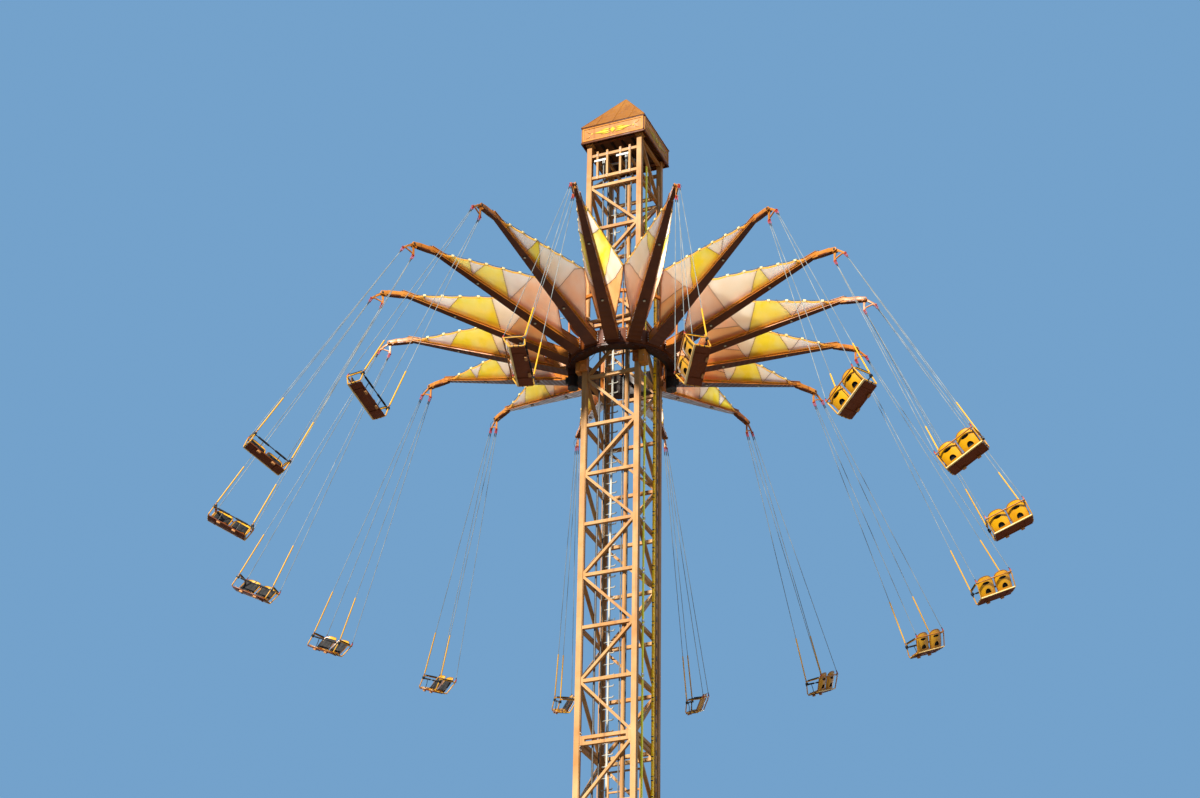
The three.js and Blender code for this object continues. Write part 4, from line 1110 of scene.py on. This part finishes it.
show("sail_inner_tubes", bars(inner_lines, 0.011, tube_orange), "star")
show("sail_edge_cords", bars(cord_lines, 0.0055, cord_grey, 6), "star")
lug = boxes([((-0.012, -0.03, -0.035), (0.012, 0.03, 0.035))], lug_white, 0.005)
show("sail_lugs", placed(lug, *lug_places), "star")

# Yokes. An orange triangular yoke hangs on each arm's pin, and red shackles at its two
# corners take the four steel cables. A thin black loop is the spare that catches it.
SWING_OUT, TRAIL = 25.4, 2.9
PRONG_X, PRONG_Z = 0.15, -0.265
CHAIR_HALF, SEAT_Z, REAR_Y, FRONT_Y = 0.488, -7.35, -0.06, 0.275
TOP_REAR_Y, TOP_FRONT_Y, TOP_Z = -0.25, 0.205, -7.016

red_paint = paint("shackle paint", srgb(145, 25, 28), srgb(165, 49, 45), srgb(74, 25, 20), 0.35, 0.4)
trailing = turn(-TRAIL, "X")
across_yoke = Matrix(((1, 0, 0, 0), (0, 0, -1, 0), (0, 1, 0, 0), (0, 0, 0, 1)))
yoke_outline = [
    *arc(0, 0, 0.042, 0.042, 30, 150, 8), (-PRONG_X - 0.022, PRONG_Z + 0.016),
    *arc(-PRONG_X, PRONG_Z, 0.027, 0.027, 180, 320, 6), (-PRONG_X + 0.055, PRONG_Z + 0.034),
    (PRONG_X - 0.055, PRONG_Z + 0.034), *arc(PRONG_X, PRONG_Z, 0.027, 0.027, 220, 360, 6),
    (PRONG_X + 0.022, PRONG_Z + 0.016)]
pin_hole = arc(0, 0, 0.0205, 0.0205, 0, 330, 11)
window = [(0, -0.047), (0.104, PRONG_Z + 0.062), (-0.104, PRONG_Z + 0.062)]
yoke_plate = flat_plate(yoke_outline, 0.03, across_yoke, fork_paint, [pin_hole, window], 0.003)
boss = ring(0.0205, 0.036, -0.036, 0.036, 20, fork_paint, 0.003)
boss.transform(turn(90, "X"))

cable_runs = []
for side in (-1, 1):
    for chair_y in (TOP_FRONT_Y, TOP_REAR_Y):
        start = Vector((side * PRONG_X, math.copysign(0.018, chair_y), PRONG_Z - 0.02))
        cable_runs.append((start, trailing @ Vector((side * CHAIR_HALF, chair_y, TOP_Z + 0.02)), chair_y > 0))
wide, over = Vector((0.019, 0, 0)), Vector((0, 0, 0.03))
shackle_lines, shackle_pins, pin_heads = [], [], []
for start, end, front in cable_runs:
    eye = start + (end - start).normalized() * 0.1
    shackle_lines.append([start + wide + over, eye + wide, eye - wide, start - wide + over])
    shackle_pins.append(start + over * 0.7)
    pin_heads.append(start + over * 0.7 + Vector((0.034, 0, 0)))
shackles = [bars(shackle_lines, 0.0082, red_paint, 8, bend=0.018),
            studs(shackle_pins, X_WAY, 0.0095, 0.062, red_paint, 10),
            studs(pin_heads, X_WAY, 0.015, 0.014, red_paint)]
loop_points = []
for t in (k / 12 for k in range(13)):
    belly = math.sin(math.pi * t)
    loop_points.append((0.02 + 0.09 * t + 0.03 * belly, 0.03 + 0.05 * belly, -0.03 - 0.25 * t))
safety_loop = bars([loop_points], 0.004, black_plastic, 6)
one_yoke = join(yoke_plate, boss, *shackles, safety_loop)

# Cables. Four galvanised steel cables with pressed ferrules hold each chair. The two in front
# wear bright yellow sleeves over their lower ends, within reach from the seats.
SLEEVE_SHARE = 0.17


def wire_rope(name, dark, light):
    """Greased steel wire rope: dull, with darker lengths where the grease has held dust."""
    material, tree, shader = new_material(name)
    inputs = {"Vector": place(tree), "Scale": 40}
    strands = node(tree, "ShaderNodeTexWave", inputs, bands_direction="DIAGONAL")[1]
    base = tints(tree, 2.5, 4, 0.35, 0.7, dark, light)
    finish(tree, shader, base, strands, 0.0004, uneven(tree, 6, 0.5, 0.7))
    return material


cable_steel = wire_rope("cable steel", srgb(92, 97, 96), srgb(130, 135, 132))
sleeve_yellow = plastic("sleeve yellow", srgb(197, 147, 4), srgb(188, 137, 11), 0.45)
cable_lines, ferrule_lines, sleeve_lines = [], [], []
for start, end, front in cable_runs:
    way = (end - start).normalized()
    cable_lines.append([start + way * 0.1, end])
    ferrule_lines += [[start + way * 0.1, start + way * 0.19], [end - way * 0.1, end - way * 0.02]]
    if front:
        sleeve_lines.append([end.lerp(start, SLEEVE_SHARE), end - way * 0.03])
cables = join(bars(cable_lines, 0.0075, cable_steel, 6), bars(ferrule_lines, 0.012, dark_steel, 8))
sleeves = bars(sleeve_lines, 0.0165, sleeve_yellow, 12)

# Chair frames. Bent tube frames at both ends, a square beam at the rear below, a round rail
# above it and a strut between the two backs. All are welded and painted yellow or brown.
CHAIR_ENDS = (-CHAIR_HALF, CHAIR_HALF)

frame_paint = paint("chair frame paint", srgb(179, 124, 21), srgb(188, 140, 43), srgb(111, 60, 15), 0.35, 0.6)
beam_paint = paint("chair beam paint", srgb(212, 176, 106), srgb(214, 190, 134), srgb(146, 96, 40), 0.35, 0.5)
rail_paint = paint("chair rail paint", srgb(142, 88, 38), srgb(164, 110, 54), srgb(76, 40, 18), 0.4, 0.5)
end_path = [(REAR_Y - 0.004, SEAT_Z), (FRONT_Y, SEAT_Z), (TOP_FRONT_Y, TOP_Z), (TOP_REAR_Y, TOP_Z)]
end_lines = [[(x, y, z) for y, z in end_path] for x in CHAIR_ENDS]
end_frames = bars(end_lines, 0.015, frame_paint, 12, bend=0.035, closed=True)
rear_beam = boxes([block(0, REAR_Y, SEAT_Z - 0.013, SEAT_Z + 0.015, CHAIR_HALF, 0.021)], beam_paint, 0.006)
top_rail = bars([[(x, TOP_REAR_Y - 0.002, TOP_Z) for x in CHAIR_ENDS]], 0.0155, rail_paint, 12)
strut = bars([[(0, REAR_Y - 0.012, SEAT_Z + 0.02), (0, TOP_REAR_Y + 0.004, TOP_Z)]], 0.008, rail_paint, 10)
corner_lugs = boxes([block(x, y, TOP_Z - 0.012, TOP_Z + 0.032, 0.012, 0.022) for x in CHAIR_ENDS
                     for y in (TOP_REAR_Y + 0.004, TOP_FRONT_Y - 0.004)], rail_paint, 0.005)
collars = studs([(x, REAR_Y + 0.1 + 0.1 * k, SEAT_Z) for x in CHAIR_ENDS for k in range(2)],
                Y_WAY, 0.0215, 0.02, dark_steel, 14)
red_ends = bars([[(x, TOP_REAR_Y, TOP_Z + 0.03), (x, TOP_REAR_Y, TOP_Z + 0.075)] for x in CHAIR_ENDS],
                0.0165, red_paint, 10)
chair_frame = join(end_frames, rear_beam, top_rail, strut, corner_lugs, collars, red_ends)

# Seats. A dark painted plywood board on battens, with screws from below and two wooden blocks
# that stop the chair from tipping when it stands on the ground.


def wood(name, light, dark, stretch):
    """Sawn timber: a grain drawn out along its length, and the same grain raised by the weather."""
    material, tree, shader = new_material(name)
    grain = clouds(tree, 7, 5, stretch)
    base = blend(tree, between(tree, grain, 0.35, 0.7), light, dark)
    finish(tree, shader, base, grain, 0.0012, uneven(tree, 8, 0.5, 0.7), MATT)
    return material


plywood = wood("painted plywood", srgb(102, 46, 9), srgb(82, 35, 6), (1, 12, 12))
block_wood = wood("foot block wood", srgb(169, 118, 69), srgb(148, 99, 54), (1, 10, 1))
board_x = CHAIR_HALF - 0.018
seat_board = boxes([((-board_x, REAR_Y + 0.026, SEAT_Z - 0.02), (board_x, FRONT_Y - 0.004, SEAT_Z - 0.002)),
                    ((-board_x, FRONT_Y - 0.03, SEAT_Z - 0.026), (board_x, FRONT_Y + 0.004, SEAT_Z - 0.018))],
                   plywood, 0.004)
battens = boxes([((x - 0.02, REAR_Y + 0.03, SEAT_Z - 0.034), (x + 0.02, FRONT_Y - 0.04, SEAT_Z - 0.019))
                 for x in (-0.3, 0.3)], plywood, 0.003)
blocks = boxes([block(x, FRONT_Y - 0.03, SEAT_Z - 0.07, SEAT_Z - 0.024, 0.045, 0.025) for x in (-0.2, 0.2)],
               block_wood, 0.006)
screws = studs([(x, y, SEAT_Z - 0.0205) for x in (-0.42, -0.14, 0.14, 0.42) for y in (0.0, 0.1, 0.2)],
               Z_WAY, 0.006, 0.004, dark_steel, 8)
chair_seat = join(seat_board, battens, blocks, screws)

# Shells. Two moulded yellow backs with a slot and an arched hole, and a shallow moulded dish
# on the board in front of each. They are glossy fibreglass, screwed to the rails.
LEAN = Vector((0, TOP_REAR_Y - REAR_Y, TOP_Z - SEAT_Z)).normalized()
REARWARDS = Vector((1, 0, 0)).cross(LEAN)
BACK_ORIGIN = Vector((0, REAR_Y + 0.024, SEAT_Z + 0.008))
BACK_X, BACK_HEIGHT, BACK_HALF = 0.238, 0.479, 0.215


def moulded(name, colour, edge, dark):
    """Glossy moulded fibreglass: a darker, warmer tint low down that is painted shade, dust, and fine
    scratches.
    """
    material, tree, shader = new_material(name)
    base = tints(tree, 4, 4, 0.4, 0.75, colour, edge)
    base = blend(tree, dirt_and_shade_share(tree, 0.55), base, dark)
    coat = {"Coat Weight": 0.25, "Coat Roughness": 0.15}
    finish(tree, shader, base, clouds(tree, 50, 3, (1, 4, 1)), 0.0006, uneven(tree, 7, 0.2, 0.4), coat)
    return material


def back_shape(half, low, height):
    """The outline of a back, a little taller than wide, with a round top."""
    shoulder = height * 0.6
    points = arc(-half * 0.95 + 0.03, low + 0.03, 0.03, 0.03, 180, 270, 4)
    points += arc(half * 0.95 - 0.03, low + 0.03, 0.03, 0.03, 270, 360, 4)
    points += [(half * 0.99, shoulder * 0.6)]
    for x, y in arc(0, 0, 1, 1, 0, 180, 14):
        across = half * math.copysign(abs(x) ** 0.8, x)
        points.append((across, shoulder + (height - shoulder) * abs(y) ** 0.85))
    return points + [(-half * 0.99, shoulder * 0.6)]


def on_back(x, y, offset):
    """A point of a back: its middle bulges to the rear, and its sides and top roll forwards."""
    bulge = 0.012 - 0.05 * (x / BACK_HALF) ** 2 - 0.035 * (y / BACK_HEIGHT) ** 3 - offset
    return BACK_ORIGIN + Vector((x, 0, 0)) + LEAN * y + REARWARDS * bulge


def curved_back(outline, holes, offset, thickness, material, spacing):
    """A moulded skin over an outline, with its holes cut through."""
    loops = [along_path([Vector(point) for point in loop + loop[:1]], size)[:-1]
             for loop, size in [(outline, spacing)] + [(hole, spacing / 2) for hole in holes]]
    rims = [pair for loop in loops for pair in zip(loop, loop[1:] + loop[:1])]
    points, triangles = cut_flat(loops[0], holes=loops[1:], inner=fill_points(loops[0], rims, spacing))
    # Darker towards the foot of the back, where it meets the seat: painted shade.
    dirt_and_shade = [max(0, 1 - y / 0.14) for x, y in points]
    mesh = bpy.data.meshes.new("back")
    mesh.from_pydata([on_back(x, y, offset) for x, y in points], [], triangles)
    mesh.attributes.new("dirt_and_shade", "FLOAT", "POINT").data.foreach_set("value", dirt_and_shade)
    shape = bmesh.new()
    shape.from_mesh(mesh)
    bmesh.ops.recalc_face_normals(shape, faces=shape.faces[:])
    bmesh.ops.solidify(shape, geom=shape.faces[:], thickness=thickness)
    return to_mesh(shape, material)


def grid_faces(shape, grid):
    """Faces between the rows of a grid of corners."""
    for first, second in zip(grid, grid[1:]):
        for k in range(len(first) - 1):
            shape.faces.new((first[k], first[k + 1], second[k + 1], second[k]))


def seat_pan():
    """The shallow moulded dish of one seat, with a raised rim and a rolled front."""
    shape = bmesh.new()
    columns, rows = 14, 12
    layer = shape.verts.layers.float.new("dirt_and_shade")
    grid = []
    for v in (j / rows for j in range(rows + 1)):
        line = []
        for u in (2 * i / columns - 1 for i in range(columns + 1)):
            dish = 0.03 * abs(u) ** 3 + 0.022 * (1 - v) ** 4 - 0.5 * max(0, v - 0.8) ** 2
            spot = (u * 0.2 * (1 - 0.1 * v ** 4), REAR_Y + 0.035 + 0.29 * v, SEAT_Z + 0.012 + dish)
            line.append(shape.verts.new(spot))
            line[-1][layer] = 0.15
        grid.append(line)
    grid_faces(shape, grid)
    bmesh.ops.solidify(shape, geom=shape.faces[:], thickness=0.006)
    return to_mesh(shape, shell_yellow)


shell_yellow = moulded("shell yellow", srgb(197, 143, 2), srgb(188, 128, 4), srgb(140, 68, 7))
# The rolled rim round each back is dark brown: painted shade along the back's edge.
rim_shade_brown = plastic("shell rim painted shade", srgb(124, 73, 13), srgb(99, 54, 13), 0.4)
slot_hole = [(0.1 * math.cos(a) * abs(math.cos(a)) ** 0.2, 0.315 + 0.034 * math.sin(a))
             for a in (math.tau * k / 20 for k in range(20))]
arch_hole = [(0.078, 0.07)] + arc(0, 0.1, 0.078, 0.082, 0, 180, 12) + [(-0.078, 0.07)]
back_outline = back_shape(BACK_HALF, 0.012, BACK_HEIGHT)
shell = curved_back(back_outline, [slot_hole, arch_hole], 0, 0.006, shell_yellow, 0.03)
rim_line = [tuple(on_back(x, y, 0.003)) for x, y in along_path([Vector(p) for p in back_outline], 0.04)]
rim = bars([rim_line], 0.008, rim_shade_brown, 6, closed=True)
seats_apart = [move(-BACK_X, 0, 0), move(BACK_X, 0, 0)]
chair_shells = placed(join(shell, rim, seat_pan()), *seats_apart)

# Lap bars and pads. A black bar in clamps across the front, with a foam grip and a strap down
# to the board at each seat, and black padding on the backs and arm rests.


def vinyl(name, dark, light):
    """Coated cloth over foam: dull, with the fine grain that is pressed into it."""
    material, tree, shader = new_material(name)
    grain = node(tree, "ShaderNodeTexVoronoi", {"Vector": place(tree), "Scale": 260})["Distance"]
    base = tints(tree, 9, 3, 0.4, 0.7, dark, light)
    finish(tree, shader, base, grain, 0.001, uneven(tree, 20, 0.6, 0.8), MATT)
    return material


def crowned_pad(half, low, high, thickness, channels):
    """A closed pad in front of the backs, full between its sewn channels and pinched at its rim."""
    shape = bmesh.new()
    columns, rows = channels * 8, 14
    rims = []
    for face in (-1, 1):
        sheet = []
        for v in (2 * j / rows - 1 for j in range(rows + 1)):
            pulled = 1 - 0.02 * (1 - v * v)
            line = []
            for u in (2 * i / columns - 1 for i in range(columns + 1)):
                fullness = (max(0, 1 - u ** 8) * max(0, 1 - v ** 6)) ** 0.5
                sewn = 0.35 + 0.65 * abs(math.sin(math.pi * channels * (u + 1) / 2)) ** 0.6
                x, y = u * half * pulled, low + (v + 1) / 2 * (high - low)
                swell = -PAD_OFFSET + face * (0.003 + fullness * sewn * thickness / 2)
                point = BACK_ORIGIN + Vector((x, 0, 0)) + LEAN * y + REARWARDS * swell
                line.append(shape.verts.new(point))
            sheet.append(line)
        grid_faces(shape, sheet)
        inner = sheet[1:-1]
        rims.append([*sheet[0], *[line[-1] for line in inner], *reversed(sheet[-1]),
                     *[line[0] for line in reversed(inner)]])
    bridge(shape, *rims)
    return to_mesh(shape, pad_black)


PAD_OFFSET = 0.045
LAP_Y, LAP_Z = TOP_FRONT_Y + 0.004, TOP_Z - 0.07
SEATS_X = (-BACK_X, BACK_X)

pad_black = vinyl("pad vinyl", srgb(22, 21, 21), srgb(42, 39, 37))
lap_ends = [(x, LAP_Y, LAP_Z) for x in (-CHAIR_HALF + 0.02, CHAIR_HALF - 0.02)]
lap_tube = bars([lap_ends], 0.0115, black_plastic, 12)
lap_pads = bars([[(x - 0.15, LAP_Y, LAP_Z), (x + 0.15, LAP_Y, LAP_Z)] for x in SEATS_X], 0.022, pad_black, 14)
lap_straps = bars([[(x, LAP_Y, LAP_Z), (x, LAP_Y - 0.01, LAP_Z - 0.12), (x, FRONT_Y - 0.06, SEAT_Z + 0.01)]
                   for x in SEATS_X], 0.009, black_plastic, 8, bend=0.05)
clamp_blocks = boxes([((x - 0.03, LAP_Y - 0.035, LAP_Z - 0.03), (x + 0.03, LAP_Y + 0.03, LAP_Z + 0.045))
                      for x in CHAIR_ENDS], black_plastic, 0.008)
arm_pads = boxes([((x - 0.024, TOP_REAR_Y + 0.08, TOP_Z + 0.012),
                   (x + 0.024, TOP_FRONT_Y - 0.05, TOP_Z + 0.036)) for x in CHAIR_ENDS], pad_black, 0.009)
lap_bar = join(lap_tube, lap_straps, clamp_blocks)
back_pads = placed(crowned_pad(BACK_HALF - 0.022, 0.02, 0.385, 0.034, 3), *seats_apart)

# The sixteen swings, each put together on its own pin. The yoke and the cables tilt outwards,
# and the chair hangs from them with the angle by which it trails behind its arm.
for number, joint in enumerate(SWINGS):
    tag, body = f"{number + 1:02d}", joint["child"]
    hanging = spoke(number) @ move(TIP_RADIUS, 0, PIN_Z) @ turn(-SWING_OUT, "Y")
    seated = hanging @ trailing
    upper = show(f"yoke_{tag}", placed(one_yoke, hanging), body)
    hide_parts(f"hanger_{tag}")
    show(f"cables_{tag}", placed(cables, hanging), body)
    show(f"sleeves_{tag}", placed(sleeves, hanging), body)
    ends = show(f"chair_frame_{tag}", placed(chair_frame, seated), body)
    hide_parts(f"chair_{tag}")
    show(f"seat_board_{tag}", placed(chair_seat, seated), body)
    show(f"shells_{tag}", placed(chair_shells, seated), body)
    show(f"lap_bar_{tag}", placed(lap_bar, seated), body)
    for word, mesh in (("back_pads", back_pads), ("lap_pads", lap_pads), ("arm_pads", arm_pads)):
        pad = show(f"{word}_{tag}", placed(mesh, seated), body)

# Ground frame. Heavy dark beams under the chords, raking struts to the mast, and anchor
# plates with bolts at the ends of the beams.
ANCHOR_HALF, ANCHOR_REACH = 0.1, 0.11

base_paint = paint("base paint", srgb(53, 30, 17), srgb(73, 45, 26), srgb(28, 20, 13), 0.5, 0.7)
dress(base_paint, "base_frame")
base_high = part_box("base_frame")[1]
plates, anchors = [], []
for at in (-MAST_HALF, 0, MAST_HALF):
    for reach in (ANCHOR_REACH - base_high.x, base_high.x - ANCHOR_REACH):
        for x, y in ((reach, at), (at, reach)):
            plates.append(block(x, y, 0.3, 0.316, ANCHOR_HALF, ANCHOR_HALF))
            anchors += [(x + dx, y + dy, 0.33) for dx in (-0.06, 0.06) for dy in (-0.06, 0.06)]
show("anchor_plates", boxes(plates, base_paint, 0.004), "mast")
show("anchor_bolts", studs(anchors, Z_WAY, 0.02, 0.03, galvanised), "mast")

# Stage. A plain pale floor, a soft sun from the left of the camera, and two broad weak lights
# that lighten the shaded sides. The surroundings are blue above and brown below.
FLOOR_RADIUS, SUN_AZIMUTH, SUN_HEIGHT = 26, -3, 35
COLOUR_BELOW, COLOUR_ABOVE = (0.32, 0.27, 0.22, 1), (0.29, 0.6, 1.0, 1)

floor_shape = bmesh.new()
bmesh.ops.create_circle(floor_shape, cap_ends=True, radius=FLOOR_RADIUS, segments=96)
floor_material, floor_tree, floor_shader = new_material("floor")
floor_colour = blend(floor_tree, clouds(floor_tree, 0.2), srgb(134, 132, 128), srgb(140, 138, 134))
floor_tree.links.new(floor_colour, floor_shader.inputs["Base Color"])
floor_shader.inputs["Roughness"].default_value = 0.9
floor = bpy.data.objects.new("floor", to_mesh(floor_shape, floor_material, False))
floor.location.z = -0.002
bpy.context.scene.collection.objects.link(floor)
floor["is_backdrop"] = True


def distant_light(name, energy, angle, colour, azimuth, height):
    """A light from far away; azimuth 0 is the -Y side, and a negative one lies towards -X."""
    light = bpy.data.objects.new(name, bpy.data.lights.new(name, "SUN"))
    light.data.energy, light.data.angle, light.data.color = energy, math.radians(angle), colour
    light.matrix_world = turn(azimuth, "Z") @ turn(90 - height, "X")
    bpy.context.scene.collection.objects.link(light)


distant_light("sun", 10.5, 4, (1, 0.95, 0.87), SUN_AZIMUTH, SUN_HEIGHT)
distant_light("warm fill", 0.75, 70, (1, 0.72, 0.42), 75, 5)
distant_light("rear fill", 1.4, 60, (1, 0.93, 0.84), -150, 30)
world = bpy.data.worlds.new("surroundings")
world.use_nodes = True
tree = world.node_tree
heading = node(tree, "ShaderNodeTexCoord")["Generated"]
upwards = node(tree, "ShaderNodeSeparateXYZ", {"Vector": heading})["Z"]
surroundings = blend(tree, between(tree, upwards, -0.1, 0.1), COLOUR_BELOW, COLOUR_ABOVE)
tree.links.new(surroundings, tree.nodes["Background"].inputs["Color"])
tree.nodes["Background"].inputs["Strength"].default_value = 0.6
bpy.context.scene.world = world
bpy.context.scene.view_settings.view_transform = "Standard"

bpy.context.view_layer.update()
low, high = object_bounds()
